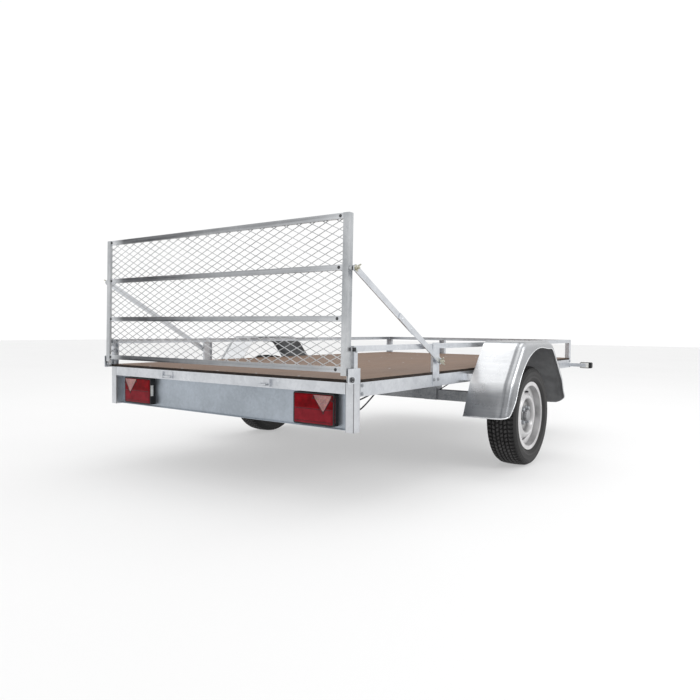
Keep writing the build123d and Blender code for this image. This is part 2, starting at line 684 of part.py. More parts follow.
# Drawbar: two arms under the cross members, drawn together on a square nose.
drawbar = plan(
    [
        (ARM_REAR[0] - ARM_W / 2, ARM_REAR[1]),
        (ARM_REAR[0] + ARM_W / 2, ARM_REAR[1]),
        (ARM_FRONT[0] + ARM_W / 2, ARM_FRONT[1]),
        (ARM_FRONT[0] - ARM_W / 2, ARM_FRONT[1]),
    ],
    DRAWBAR_Z,
)
put("drawbar_arms", drawbar, other(drawbar))

gusset = [
    (-ARM_FRONT[0] - ARM_W, NOSE_Y[0]),
    (ARM_FRONT[0] + ARM_W, NOSE_Y[0]),
    (ARM_FRONT[0] + ARM_W / 2, ARM_FRONT[1]),
    (-ARM_FRONT[0] - ARM_W / 2, ARM_FRONT[1]),
]
nose = block((-NOSE_HALF, NOSE_HALF), NOSE_Y, DRAWBAR_Z)
nose += plan(gusset, (DRAWBAR_Z[1], DRAWBAR_Z[1] + GUSSET_T))
nose += plan(gusset, (DRAWBAR_Z[0] - GUSSET_T, DRAWBAR_Z[0]))
put("drawbar_nose", nose)

# Coupling head: a pressed cup over the ball, a neck and a saddle bolted on the nose.
head = Pos(0, BALL_Y, BALL_Z) * Sphere(CUP_R)
head += block((-NOSE_HALF, NOSE_HALF), (NOSE_Y[1], BALL_Y), (BALL_Z - 4.0, DRAWBAR_Z[1]))
head += block(
    (-HEAD_HALF, HEAD_HALF),
    (NOSE_Y[1] - HEAD_BACK, NOSE_Y[1] + HEAD_BACK / 4),
    (DRAWBAR_Z[1], DRAWBAR_Z[1] + GUSSET_T + 2.0),
)
head -= block(
    around(0, 3 * CUP_R), around(BALL_Y, 3 * CUP_R), (BALL_Z - 2 * CUP_R, BALL_Z - CUP_DEPTH)
)
head -= Pos(0, BALL_Y, BALL_Z) * Sphere(BALL_R)
head -= rod_z(BALL_R, 0, BALL_Y, (BALL_Z - 2 * CUP_R, BALL_Z))
put("coupling_head", head)

# Coupling handle: a lever over the head, on a short block.
handle_z = DRAWBAR_Z[1] + GUSSET_T + 2.0
handle_y = NOSE_Y[1] - HEAD_BACK / 2
handle = block(around(0, HANDLE_W), around(handle_y, 30.0), (handle_z, handle_z + HANDLE_W))
handle_top = (handle_z + HANDLE_W - HANDLE_T, handle_z + HANDLE_W)
handle += block(around(0, HANDLE_W - 4.0), (handle_y, BALL_Y + CUP_R / 2), handle_top)
put("coupling_handle", handle)


# Jockey wheel: carrier between the drawbar arms, two tubes, fork and wheel.
def inner_gap(y):
    """How far the inner face of a drawbar arm is from the middle at y."""
    return ARM_REAR[0] - arm_slope * (y - ARM_REAR[1]) - ARM_W / 2


carrier_y = around(JOCKEY_Y, CARRIER_D)
carrier = plan(
    [
        (-inner_gap(carrier_y[0]), carrier_y[0]),
        (inner_gap(carrier_y[0]), carrier_y[0]),
        (inner_gap(carrier_y[1]), carrier_y[1]),
        (-inner_gap(carrier_y[1]), carrier_y[1]),
    ],
    DRAWBAR_Z,
)
carrier -= rod_z(JOCKEY_TUBE_R, 0, JOCKEY_Y, JOCKEY_TUBE_Z)
put("jockey_carrier", carrier)

outer_tube = rod_z(JOCKEY_TUBE_R, 0, JOCKEY_Y, JOCKEY_TUBE_Z)
tube_bore = (JOCKEY_TUBE_Z[0], JOCKEY_TUBE_Z[1] - JOCKEY_CAP)
outer_tube -= rod_z(JOCKEY_INNER_R + PIN_PLAY, 0, JOCKEY_Y, tube_bore)
put("jockey_outer_tube", outer_tube)
inner_z = (FORK_TOP + 0.3, DRAWBAR_Z[1] - 10.0)
put("jockey_inner_tube", rod_z(JOCKEY_INNER_R, 0, JOCKEY_Y, inner_z))

wheel_y = JOCKEY_Y - JOCKEY_TRAIL
fork_y = (wheel_y - 3 * FORK_T, JOCKEY_Y + JOCKEY_INNER_R)
fork = block((-FORK_HALF, FORK_HALF), fork_y, (FORK_TOP - FORK_T, FORK_TOP))
leg_low = JOCKEY_WHEEL_R - 2 * JOCKEY_AXLE_R
fork_leg = block((FORK_HALF - FORK_T, FORK_HALF), around(wheel_y, 6 * FORK_T), (leg_low, FORK_TOP))
fork += fork_leg + other(fork_leg)
fork += rod_x(JOCKEY_AXLE_R, (-FORK_HALF, FORK_HALF), wheel_y, JOCKEY_WHEEL_R)
put("jockey_fork", fork)

jockey_tyre_half = [
    (JOCKEY_WHEEL_HALF - 5.0, JOCKEY_RIM_R),
    (JOCKEY_WHEEL_HALF, JOCKEY_RIM_R + 10.0),
    (JOCKEY_WHEEL_HALF - 7.0, JOCKEY_WHEEL_R - 2.0),
    (2.0, JOCKEY_WHEEL_R),
]
jockey_ring = jockey_tyre_half + [(-x, r) for x, r in reversed(jockey_tyre_half)]
put("jockey_tyre", ring_x(jockey_ring, 0, wheel_y, JOCKEY_WHEEL_R))
jockey_rim_half = [
    (JOCKEY_WHEEL_HALF - 1.0, JOCKEY_AXLE_R + PIN_PLAY),
    (JOCKEY_WHEEL_HALF - 1.0, 2.5 * JOCKEY_AXLE_R),
    (4.0, 3.0 * JOCKEY_AXLE_R),
    (4.0, JOCKEY_RIM_R - 8.0),
    (JOCKEY_WHEEL_HALF - 5.0, JOCKEY_RIM_R - 4.0),
    (JOCKEY_WHEEL_HALF - 5.0, JOCKEY_RIM_R),
]
jockey_rim_ring = jockey_rim_half + [(-x, r) for x, r in reversed(jockey_rim_half)]
put("jockey_rim", ring_x(jockey_rim_ring, 0, wheel_y, JOCKEY_WHEEL_R))

crank_z = (JOCKEY_TUBE_Z[1] + CRANK_R, JOCKEY_TUBE_Z[1] + 2 * CRANK_R)
crank_end = JOCKEY_Y - CRANK_REACH
crank = rod_z(CRANK_R, 0, JOCKEY_Y, (JOCKEY_TUBE_Z[1], crank_z[1]))
crank += block(around(0, 1.5 * CRANK_R), (crank_end, JOCKEY_Y), crank_z)
crank += rod_z(CRANK_R, 0, crank_end, (crank_z[0], crank_z[1] + 3 * CRANK_R))
put("jockey_crank", crank)

# Front position lamps on flat arms at the front corners.
side_arm_y = (BED_L - SIDE_ARM_BACK, BED_L - SIDE_ARM_BACK + SIDE_ARM_T)
side_lamp_z = around(MEMBER_BOTTOM + MEMBER_H / 3, SIDE_LAMP_H)
side_arm_z = around(MEMBER_BOTTOM + MEMBER_H / 3, SIDE_ARM_H)
lamp_arm = block((HALF_W, (SIDE_LAMP_X[0] + SIDE_LAMP_X[1]) / 2), side_arm_y, side_arm_z)
put("position_lamp_arms", lamp_arm, other(lamp_arm))
side_lamp_y = (side_arm_y[1], side_arm_y[1] + SIDE_LAMP_D)
side_lamp = block(SIDE_LAMP_X, side_lamp_y, side_lamp_z)
side_lamp = fillet(side_lamp.edges().filter_by(Axis.Y), SIDE_LAMP_H / 5)
put("position_lamps", side_lamp, other(side_lamp))


# Lamp leads: round cables from the lamps and the beam up into the frame.
def lead(points):
    """A round cable along the points, with arcs as large as its runs allow."""
    stops = [Vector(*point) for point in points]
    runs = [b - a for a, b in zip(stops, stops[1:])]
    radii = []
    for before, after in zip(runs, runs[1:]):
        half_turn = radians(before.get_angle(after)) / 2
        radii.append(0.45 * min(before.length, after.length) / tan(half_turn))
    path = FilletPolyline(*stops, radius=radii)
    start = Plane(origin=path @ 0, z_dir=path % 0)
    return sweep(start * Circle(LEAD_R), path)


back_y = board_y[1]
lower_lead = lead(
    [
        (HALF_W - 68.0, back_y, MEMBER_BOTTOM - 74.0),
        (HALF_W - 68.0, back_y + 22.0, MEMBER_BOTTOM - 74.0),
        (HALF_W - 58.0, back_y + 43.0, MEMBER_BOTTOM - 71.0),
        (HALF_W - 42.0, back_y + 63.0, MEMBER_BOTTOM - 60.0),
        (HALF_W - 32.0, back_y + 89.0, MEMBER_BOTTOM - 39.0),
        (HALF_W - 29.0, back_y + 117.0, MEMBER_BOTTOM - 20.0),
        (HALF_W - 29.0, back_y + 146.0, MEMBER_BOTTOM - LEAD_R),
    ]
)
upper_lead = lead(
    [
        (HALF_W - 57.0, back_y, MEMBER_BOTTOM - 24.0),
        (HALF_W - 57.0, back_y + 18.0, MEMBER_BOTTOM - 24.0),
        (HALF_W - 48.0, back_y + 35.0, MEMBER_BOTTOM - 23.0),
        (HALF_W - 36.0, back_y + 54.0, MEMBER_BOTTOM - 17.5),
        (HALF_W - 30.0, back_y + 81.0, MEMBER_BOTTOM - 10.0),
        (HALF_W - 29.0, back_y + 108.0, MEMBER_BOTTOM - LEAD_R - 0.2),
    ]
)
lead_x = ARM_REAR[0] + 45.0
lead_y = AXLE_Y - 18.0
beam_lead = lead(
    [
        (lead_x, lead_y, beam_z[1] + LEAD_R),
        (lead_x + 34.0, lead_y - 10.0, beam_z[1] + 23.0),
        (lead_x + 68.0, lead_y - 13.0, beam_z[1] + 44.0),
        (lead_x + 102.0, lead_y - 26.0, beam_z[1] + 62.0),
        (lead_x + 134.0, lead_y - 42.0, beam_z[1] + 76.0),
        (lead_x + 164.0, lead_y - 62.0, beam_z[1] + 92.0),
        (lead_x + 190.0, lead_y - 82.0, beam_z[1] + 110.0),
        (lead_x + 206.0, lead_y - 96.0, MEMBER_TOP - 24.0),
        (lead_x + 206.0, lead_y - 96.0, MEMBER_TOP),
    ]
)
put("lamp_leads", lower_lead, upper_lead, beam_lead)
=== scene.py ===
import math

import bmesh
import bpy
from mathutils import Matrix, Vector


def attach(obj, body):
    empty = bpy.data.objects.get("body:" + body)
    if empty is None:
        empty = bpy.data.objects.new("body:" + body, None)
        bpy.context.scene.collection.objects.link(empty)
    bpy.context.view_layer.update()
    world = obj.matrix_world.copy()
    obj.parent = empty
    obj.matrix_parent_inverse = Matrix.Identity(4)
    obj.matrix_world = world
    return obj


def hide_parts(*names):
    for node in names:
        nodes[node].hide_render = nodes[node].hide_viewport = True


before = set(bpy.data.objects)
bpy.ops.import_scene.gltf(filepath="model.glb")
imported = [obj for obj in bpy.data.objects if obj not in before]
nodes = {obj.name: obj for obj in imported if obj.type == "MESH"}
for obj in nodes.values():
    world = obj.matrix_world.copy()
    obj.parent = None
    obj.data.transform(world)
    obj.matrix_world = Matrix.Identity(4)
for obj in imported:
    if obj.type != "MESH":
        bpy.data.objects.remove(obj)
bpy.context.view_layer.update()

# Lengths in this script are in millimetres, with y from the rear face of the rear posts.
SIDES = {1: "right", -1: "left"}
MM = 0.001
# Where that rear face is in the frame.
REAR_Y = -1991.5
# Half the width of the bed's frame, and the bed's length.
HALF_W = 785.6
BED_L = 2736.0
FLOOR_TOP = 528.0
# The right wheel's centre, the tow ball's middle and the middle of the mid posts.
WHEEL = (928.0, 1347.0, 268.0)
BALL_Y = 3985.0
MID_Y = 659.0
# The gate's hinge pins, as (y, z), and the angle by which it leans at rest.
PIVOT = (-20.0, 530.0)
LEAN = math.radians(-0.965)
# A stay's ends, as (y, z).
STAY_TOP = (-13.0, 957.0)
STAY_FOOT = (672.0, 578.0)


def at(x, y, z):
    """A point of the model, in metres."""
    return Vector((x * MM, (y + REAR_Y) * MM, z * MM))


def on_gate(x, y, z):
    """A point of the upright gate, leaned as the gate stands."""
    dy, dz = y - PIVOT[0], z - PIVOT[1]
    c, s = math.cos(LEAN), math.sin(LEAN)
    return at(x, PIVOT[0] + c * dy - s * dz, PIVOT[1] + s * dy + c * dz)


# ---------------------------------------------------------------- materials


class Paint:
    """A node material with a Principled shader and short helpers."""

    def __init__(self, name):
        self.mat = bpy.data.materials.new(name)
        self.mat.use_nodes = True
        self.tree = self.mat.node_tree
        self.shader = self.tree.nodes["Principled BSDF"]
        self.coords = self.tree.nodes.new("ShaderNodeTexCoord")

    def node(self, kind, **inputs):
        made = self.tree.nodes.new(kind)
        for key, value in inputs.items():
            name = key.replace("_", " ")
            if name in made.inputs:
                self.feed(made.inputs[name], value)
            else:
                setattr(made, key, value)
        return made

    def feed(self, socket, value):
        if isinstance(value, bpy.types.NodeSocket):
            self.tree.links.new(value, socket)
        else:
            socket.default_value = value

    def set(self, **values):
        for key, value in values.items():
            self.feed(self.shader.inputs[key.replace("_", " ")], value)

    def place(self, scale=(1, 1, 1)):
        """The object's own coordinates, scaled."""
        mapping = self.node("ShaderNodeMapping", Scale=scale)
        self.feed(mapping.inputs["Vector"], self.coords.outputs["Object"])
        return mapping.outputs["Vector"]

    def noise(self, scale, detail=3.0, rough=0.55, stretch=(1, 1, 1)):
        made = self.node(
            "ShaderNodeTexNoise",
            Scale=scale,
            Detail=detail,
            Roughness=rough,
            Vector=self.place(stretch),
        )
        return made.outputs["Fac"]

    def cells(self, scale, output="Color", feature="F1", vector=None):
        made = self.tree.nodes.new("ShaderNodeTexVoronoi")
        made.feature = feature
        self.feed(made.inputs["Scale"], scale)
        self.feed(made.inputs["Vector"], vector or self.place())
        return made.outputs[output]

    def ramp(self, fac, *stops):
        """A colour ramp of (place, colour or grey) stops."""
        made = self.tree.nodes.new("ShaderNodeValToRGB")
        self.feed(made.inputs["Fac"], fac)
        band = made.color_ramp
        while len(band.elements) < len(stops):
            band.elements.new(0.5)
        for element, (place, colour) in zip(band.elements, stops):
            element.position = place
            grey = isinstance(colour, (int, float))
            element.color = (colour, colour, colour, 1) if grey else (*colour, 1)
        return made.outputs["Color"]

    def contrast(self, fac, low=0.3, high=0.7):
        """A grey ramp: black up to low, white from high on."""
        return self.ramp(fac, (low, 0.0), (high, 1.0))

    def mix(self, fac, a, b, blend="MIX"):
        made = self.tree.nodes.new("ShaderNodeMix")
        made.data_type = "RGBA"
        made.blend_type = blend
        self.feed(made.inputs[0], fac)
        self.feed(made.inputs[6], a if not isinstance(a, tuple) else (*a, 1))
        self.feed(made.inputs[7], b if not isinstance(b, tuple) else (*b, 1))
        return made.outputs[2]

    def maths(self, operation, a, b=0.0):
        made = self.tree.nodes.new("ShaderNodeMath")
        made.operation = operation
        for socket, value in zip(made.inputs, (a, b)):
            self.feed(socket, value)
        return made.outputs[0]

    def span(self, value, low, times):
        """How far a value lies above low, multiplied."""
        return self.maths("MULTIPLY", self.maths("SUBTRACT", value, low), times)

    def axis(self, which, source="Object"):
        made = self.tree.nodes.new("ShaderNodeSeparateXYZ")
        self.feed(made.inputs[0], self.coords.outputs[source])
        return made.outputs["XYZ".index(which)]

    def bump(self, height, strength, distance, under=None):
        made = self.node("ShaderNodeBump", Strength=strength, Distance=distance, Height=height)
        if under:
            self.feed(made.inputs["Normal"], under)
        return made.outputs["Normal"]


def galvanised(
    name, light, dark, rough=(0.26, 0.46), spangle=70.0, streak=None, corners=None, along=None
):
    """Hot-dip zinc: grey crystals, cloudy patches and a soft sheen.

    streak stretches drawn lines over it, which on the rails are painted reflection streaks;
    corners paints shade on slanted corners and along paints shade and reflection across the
    trailer's width.
    """
    p = Paint(name)
    wobble = p.noise(9.0, 2.0, 0.5)
    drift = p.node("ShaderNodeTexNoise", Scale=26.0, Detail=2.0, Vector=p.place())
    warped = p.mix(0.018, p.coords.outputs["Object"], drift.outputs["Color"])
    cell = p.cells(spangle, vector=warped)
    grains = p.contrast(cell, 0.0, 1.0)
    clouds = p.contrast(p.noise(5.5, 5.0, 0.6), 0.32, 0.68)
    tone = p.mix(0.35, clouds, grains)
    if streak:
        lines = p.contrast(p.noise(3.0, 6.0, 0.65, stretch=streak))
        tone = p.mix(0.7, tone, lines)
    # Painted shade and reflection across the trailer's width.
    if along:
        across = p.maths("ADD", p.maths("MULTIPLY", p.axis("X"), 0.625), 0.5)
        tone = p.mix(0.62, tone, p.ramp(across, *along))
    colour = p.mix(p.contrast(tone, 0.15, 0.85), dark, light)
    # Painted shade along rounded corners, where the normal is slanted between x and y.
    if corners:
        across = p.maths("MULTIPLY", p.axis("X", "Normal"), p.axis("Y", "Normal"))
        corner_shade = p.contrast(p.maths("ABSOLUTE", across), 0.10, 0.36)
        colour = p.mix(corner_shade, colour, (corners, corners, corners * 1.03))
    p.set(Base_Color=colour, Metallic=0.92, Specular_IOR_Level=0.5)
    p.set(Roughness=p.ramp(tone, (0.1, rough[1]), (0.9, rough[0])))
    fine = p.bump(p.noise(260.0, 3.0, 0.6), 0.10, 0.0006)
    p.set(Normal=p.bump(wobble, 0.25, 0.0025, fine))
    return p.mat


# Painted highlight and shade on the mudguard across its outer 50 mm: flat, groove, shoulder and
# skin.
SHOULDER_PAINTED_LIGHT = (
    (0.02, 1.0), (0.17, 0.12), (0.36, 0.22), (0.56, 0.72), (0.74, 0.30), (0.9, 0.42), (1.0, 0.25),
)


def mudguard_sheet(name):
    """Spun zinc sheet, fine brush lines along the arch; painted reflection, dark low down and
    bright on top.
    """
    p = Paint(name)
    # Painted reflection: dark low down, bright higher up.
    height = p.maths("ADD", p.axis("Z"), p.maths("MULTIPLY", p.noise(2.6, 3.0, 0.5), 0.07))
    rise = p.ramp(
        p.span(height, 0.33, 2.6),
        (0.0, 0.05), (0.16, 0.06), (0.31, 0.10), (0.37, 0.60), (0.45, 0.97), (0.7, 1.0),
    )
    # Painted dark reflection on faces that look straight up.
    painted_top_shade = p.ramp(p.axis("Z", "Normal"), (0.74, 1.0), (0.84, 0.5), (0.93, 0.08))
    rise = p.mix(1.0, rise, painted_top_shade, "MULTIPLY")
    # Painted highlight and shade bands across the shoulder.
    beyond = p.span(p.maths("ABSOLUTE", p.axis("X")), 1.0, 20.0)
    shade = p.ramp(beyond, *SHOULDER_PAINTED_LIGHT)
    rise = p.mix(1.0, rise, shade, "MULTIPLY")
    lines = p.contrast(p.noise(2.0, 7.0, 0.7, stretch=(1.2, 5.0, 26.0)))
    cloud = p.contrast(p.noise(7.0, 4.0, 0.6))
    # The bright and the dark colour of the painted reflection.
    bright = p.mix(p.mix(0.4, lines, cloud), (0.70, 0.715, 0.735), (0.86, 0.87, 0.885))
    painted_dark_reflection = p.mix(p.mix(0.5, lines, cloud), (0.17, 0.175, 0.185), (0.30, 0.31, 0.325))
    p.set(Base_Color=p.mix(rise, painted_dark_reflection, bright), Metallic=0.88)
    p.set(Roughness=p.ramp(cloud, (0.0, 0.22), (1.0, 0.34)), Specular_IOR_Level=0.5)
    p.set(Normal=p.bump(lines, 0.06, 0.0006, p.bump(p.noise(5.0, 2.0), 0.18, 0.003)))
    return p.mat


def painted_underside_shade(name):
    """Painted shade: a dull dark grey for a sheet's underside, with a random mottle."""
    p = Paint(name)
    mottle = p.contrast(p.noise(13.0, 6.0, 0.62), 0.33)
    p.set(Base_Color=p.mix(mottle, (0.115, 0.117, 0.121), (0.20, 0.203, 0.208)), Metallic=0.35)
    p.set(Roughness=p.ramp(mottle, (0.0, 0.5), (1.0, 0.72)))
    p.set(Normal=p.bump(p.noise(240.0, 3.0), 0.16, 0.0005))
    return p.mat


def black_part(name, colour=(0.011, 0.0115, 0.0125), rough=(0.42, 0.6), grain=900.0):
    """Moulded black plastic with a fine grain and greyer wear."""
    p = Paint(name)
    dust = p.contrast(p.noise(22.0, 5.0, 0.6), 0.35, 0.75)
    lighter = tuple(c * 2.1 + 0.006 for c in colour)
    p.set(Base_Color=p.mix(dust, colour, lighter))
    p.set(Roughness=p.ramp(dust, (0, rough[0]), (1, rough[1])))
    p.set(Specular_IOR_Level=0.26)
    p.set(Normal=p.bump(p.noise(grain, 2.0, 0.5), 0.18, 0.0004))
    return p.mat


def zinc_yellow(name):
    """Yellow-passivated steel with a faint colour play."""
    p = Paint(name)
    play = p.ramp(
        p.noise(60.0, 3.0, 0.6),
        (0.3, (0.22, 0.20, 0.13)),
        (0.5, (0.60, 0.59, 0.50)),
        (0.72, (0.30, 0.28, 0.20)),
    )
    p.set(Base_Color=play, Metallic=0.9, Roughness=p.ramp(p.noise(140.0), (0.3, 0.24), (0.7, 0.4)))
    p.set(Normal=p.bump(p.noise(420.0), 0.12, 0.0004))
    return p.mat


def plywood(name):
    """Film-faced plywood: brown phenolic face with a fine wire-mesh print, and a darker edge."""
    p = Paint(name)
    up = p.contrast(p.axis("Z", "Normal"), 0.5, 0.75)
    grain = p.noise(7.0, 6.0, 0.62, stretch=(9.0, 0.8, 1.0))
    patches = p.noise(2.3, 4.0, 0.6)
    face = p.mix(
        p.contrast(p.mix(0.5, grain, patches), 0.36, 0.64),
        (0.140, 0.088, 0.060),
        (0.206, 0.138, 0.099),
    )
    plies = p.maths("FRACT", p.maths("MULTIPLY", p.axis("Z"), 420.0))
    layer = p.ramp(
        plies,
        (0.0, (0.016, 0.011, 0.009)),
        (0.5, (0.045, 0.030, 0.022)),
        (1.0, (0.014, 0.01, 0.008)),
    )
    edge = p.mix(p.contrast(p.noise(40.0, 5.0)), layer, (0.012, 0.009, 0.008))
    p.set(Base_Color=p.mix(up, edge, face))
    wire = p.cells(230.0, output="Distance", feature="DISTANCE_TO_EDGE")
    print_height = p.contrast(wire, 0.02, 0.09)
    p.set(Roughness=p.ramp(patches, (0.3, 0.55), (0.7, 0.7)), Specular_IOR_Level=0.16)
    p.set(Normal=p.bump(print_height, 0.16, 0.0006, p.bump(grain, 0.12, 0.0008)))
    return p.mat


def radius_of(p, centre):
    """The distance from an axis along x through (y, z), in object space."""
    dy = p.maths("SUBTRACT", p.axis("Y"), centre[0])
    dz = p.maths("SUBTRACT", p.axis("Z"), centre[1])
    square = p.maths("ADD", p.maths("MULTIPLY", dy, dy), p.maths("MULTIPLY", dz, dz))
    return p.maths("SQRT", square)


# Painted light and shade on a tyre by radius, from 200 mm out over 83 mm: sidewall lines, grooves
# and tread.
TYRE_PAINTED_LIGHT = (
    (0.0, 0.8), (0.1, 1.9), (0.16, 0.8), (0.40, 1.3), (0.46, 0.7), (0.70, 0.25), (0.755, 0.3),
    (0.79, 1.9),
)


def rubber(name, centre=None):
    """Tyre rubber, near black with grey dust; with a centre (y, z), painted light and shade by
    radius.
    """
    p = Paint(name)
    dust = p.contrast(p.noise(14.0, 6.0, 0.62), 0.34, 0.72)
    colour = p.mix(dust, (0.013, 0.0125, 0.0125), (0.036, 0.035, 0.035))
    if centre:
        # Painted highlights on the sidewall lines and tread, painted shade in the grooves.
        out = p.span(radius_of(p, centre), 0.20, 12.0)
        colour = p.mix(1.0, colour, p.ramp(out, *TYRE_PAINTED_LIGHT), "MULTIPLY")
    p.set(Base_Color=colour)
    p.set(Roughness=p.ramp(dust, (0.0, 0.52), (1.0, 0.78)), Specular_IOR_Level=0.38)
    grain = p.noise(700.0, 3.0)
    p.set(Normal=p.bump(grain, 0.22, 0.0004, p.bump(p.noise(60.0, 3.0), 0.10, 0.0008)))
    return p.mat


# Painted shade on the rim by radius, as shares of 200 mm: hub, bolt face, dish, ridge, barrel,
# flange.
RIM_PAINTED_SHADE = (
    (0.15, 0.5), (0.20, 0.36), (0.30, 0.58), (0.40, 0.30), (0.50, 1.0), (0.56, 0.95), (0.66, 1.0),
    (0.755, 1.0), (0.80, 0.72), (0.835, 1.0), (0.90, 1.0),
)


def rim_silver(name, centre):
    """Silver wheel paint, fine flake; painted shade in low places and in rings about a centre."""
    p = Paint(name)
    flake = p.cells(1500.0)
    haze = p.contrast(p.noise(18.0, 5.0, 0.6), 0.35)
    base = p.mix(haze, (0.62, 0.615, 0.62), (0.76, 0.755, 0.76))
    base = p.mix(0.12, base, flake, "OVERLAY")
    # Painted shade in the recesses, from ambient occlusion.
    ao = p.tree.nodes.new("ShaderNodeAmbientOcclusion")
    ao.samples = 6
    ao.inputs["Distance"].default_value = 0.03
    recess_shade = p.ramp(ao.outputs["AO"], (0.3, 1.0), (0.86, 0.0))
    base = p.mix(p.maths("MULTIPLY", recess_shade, 0.35), base, (0.12, 0.12, 0.122))
    # Painted shade rings by radius.
    out = p.maths("MULTIPLY", radius_of(p, centre), 5.0)
    p.set(Base_Color=p.mix(1.0, base, p.ramp(out, *RIM_PAINTED_SHADE), "MULTIPLY"))
    p.set(Metallic=0.75, Roughness=p.ramp(haze, (0.0, 0.30), (1.0, 0.42)))
    p.set(Normal=p.bump(p.noise(500.0), 0.08, 0.0003))
    return p.mat


def lamp_red(name, deep, bright, line):
    """Red lamp glass: fine ribs, deeper above a line and brighter below it."""
    p = Paint(name)
    lower = p.ramp(p.span(p.axis("Z"), line, 60.0), (0.0, 1.0), (0.25, 0.0))
    cloud = p.contrast(p.noise(30.0, 4.0))
    dark = p.mix(cloud, deep, tuple(c * 2.1 for c in deep))
    lit = p.mix(cloud, tuple(c * 0.62 for c in bright), bright)
    p.set(Base_Color=p.mix(lower, dark, lit), Roughness=p.ramp(cloud, (0.0, 0.16), (1.0, 0.26)))
    p.set(Specular_IOR_Level=0.06)
    wave = p.tree.nodes.new("ShaderNodeTexWave")
    wave.bands_direction = "X"
    p.feed(wave.inputs["Scale"], 60.0)
    p.feed(wave.inputs["Vector"], p.place())
    p.set(Normal=p.bump(wave.outputs["Fac"], 0.22, 0.0008))
    return p.mat


def reflector(name, colour):
    """Retro-reflector: a grid of small facets behind pale or red glass."""
    p = Paint(name)
    facets = p.cells(420.0)
    tone = p.contrast(p.noise(36.0, 3.0))
    base = p.mix(tone, tuple(c * 0.62 for c in colour), colour)
    p.set(Base_Color=p.mix(0.25, base, facets, "OVERLAY"))
    p.set(Roughness=p.ramp(facets, (0, 0.2), (1, 0.34)))
    p.set(Coat_Weight=0.2, Specular_IOR_Level=0.3, Normal=p.bump(facets, 0.3, 0.0006))
    return p.mat


def clear_window(name):
    """Milky clear plastic."""
    p = Paint(name)
    cloud = p.ramp(p.noise(80.0, 3.0), (0.3, (0.62, 0.62, 0.60)), (0.7, (0.86, 0.86, 0.84)))
    p.set(Base_Color=cloud, Roughness=p.ramp(p.noise(50.0), (0.3, 0.14), (0.7, 0.26)))
    p.set(Coat_Weight=0.5, Transmission_Weight=0.15)
    p.set(Normal=p.bump(p.noise(300.0), 0.15, 0.0004))
    return p.mat


# Painted shade and reflection on the gate's rails, from the trailer's left to its right.
RAIL_PAINTED_SHADE = (
    (0.05, 0.95), (0.10, 0.10), (0.30, 0.12), (0.48, 0.42), (0.70, 0.55), (0.88, 0.62),
    (0.97, 0.95),
)
WHEEL_MIDDLE = ((WHEEL[1] + REAR_Y) * MM, WHEEL[2] * MM)

GALV = galvanised("galvanised", (0.69, 0.71, 0.74), (0.54, 0.56, 0.59))
# The rear lower posts get painted shade along their rounded corners.
GALV_POST = galvanised(
    "galvanised_post", (0.66, 0.675, 0.70), (0.55, 0.565, 0.59), corners=0.16
)
GALV_GATE = galvanised(
    "galvanised_gate",
    (0.62, 0.635, 0.65),
    (0.26, 0.275, 0.29),
    (0.24, 0.42),
    streak=(3.0, 3.0, 0.5),
)
# The rails' near-black dark tone and their long streaks are painted dark reflection.
GALV_RAIL = galvanised(
    "galvanised_rail",
    (0.62, 0.635, 0.655),
    (0.05, 0.052, 0.057),
    (0.2, 0.4),
    streak=(0.45, 4.0, 26.0),
    along=RAIL_PAINTED_SHADE,
)
GALV_MESH = galvanised(
    "galvanised_mesh", (0.60, 0.61, 0.62), (0.38, 0.39, 0.40), (0.35, 0.55), 160.0
)
SHEET = galvanised(
    "galvanised_sheet", (0.42, 0.465, 0.52), (0.33, 0.365, 0.405), (0.30, 0.42), 95.0
)
FENDER = mudguard_sheet("mudguard_sheet")
# The mudguard's underside is drawn dark grey as painted shade.
UNDERSIDE_SHADE = painted_underside_shade("painted_underside_shade")
GUARD_EDGE = galvanised(
    "mudguard_edge", (0.80, 0.81, 0.825), (0.60, 0.61, 0.625), (0.18, 0.28), 60.0
)
DULL = galvanised("dull_zinc", (0.52, 0.54, 0.565), (0.34, 0.355, 0.375), (0.42, 0.6), 120.0)
# A darker zinc for the axle parts under the bed, partly painted shade.
AXLE_SHADED = galvanised("axle_zinc_shaded", (0.42, 0.43, 0.445), (0.24, 0.25, 0.265), (0.42, 0.6), 120.0)
CAP = galvanised("cap_zinc", (0.46, 0.465, 0.475), (0.30, 0.305, 0.315), (0.36, 0.5), 120.0)
YELLOW = zinc_yellow("yellow_zinc")
PLY = plywood("film_plywood")
RUBBER = rubber("tyre_rubber")
TREAD = rubber("road_tyre_rubber", WHEEL_MIDDLE)
RIM = rim_silver("rim_silver", WHEEL_MIDDLE)
BLACK = black_part("black_plastic")
BOLT = black_part("dark_bolt", (0.035, 0.036, 0.038), (0.35, 0.5), 500.0)
LEAD = black_part("lead_sheath", (0.018, 0.018, 0.02), (0.4, 0.55), 1200.0)
LENS_DARK = black_part("lens_seam", (0.030, 0.004, 0.006), (0.3, 0.5), 600.0)
RED = lamp_red("lamp_red", (0.105, 0.001, 0.003), (0.24, 0.018, 0.027), 0.402)
REFLECTOR = reflector("lamp_reflector", (0.40, 0.20, 0.19))
SIDE_RED = reflector("side_reflector", (0.10, 0.006, 0.010))
WINDOW = clear_window("clear_window")

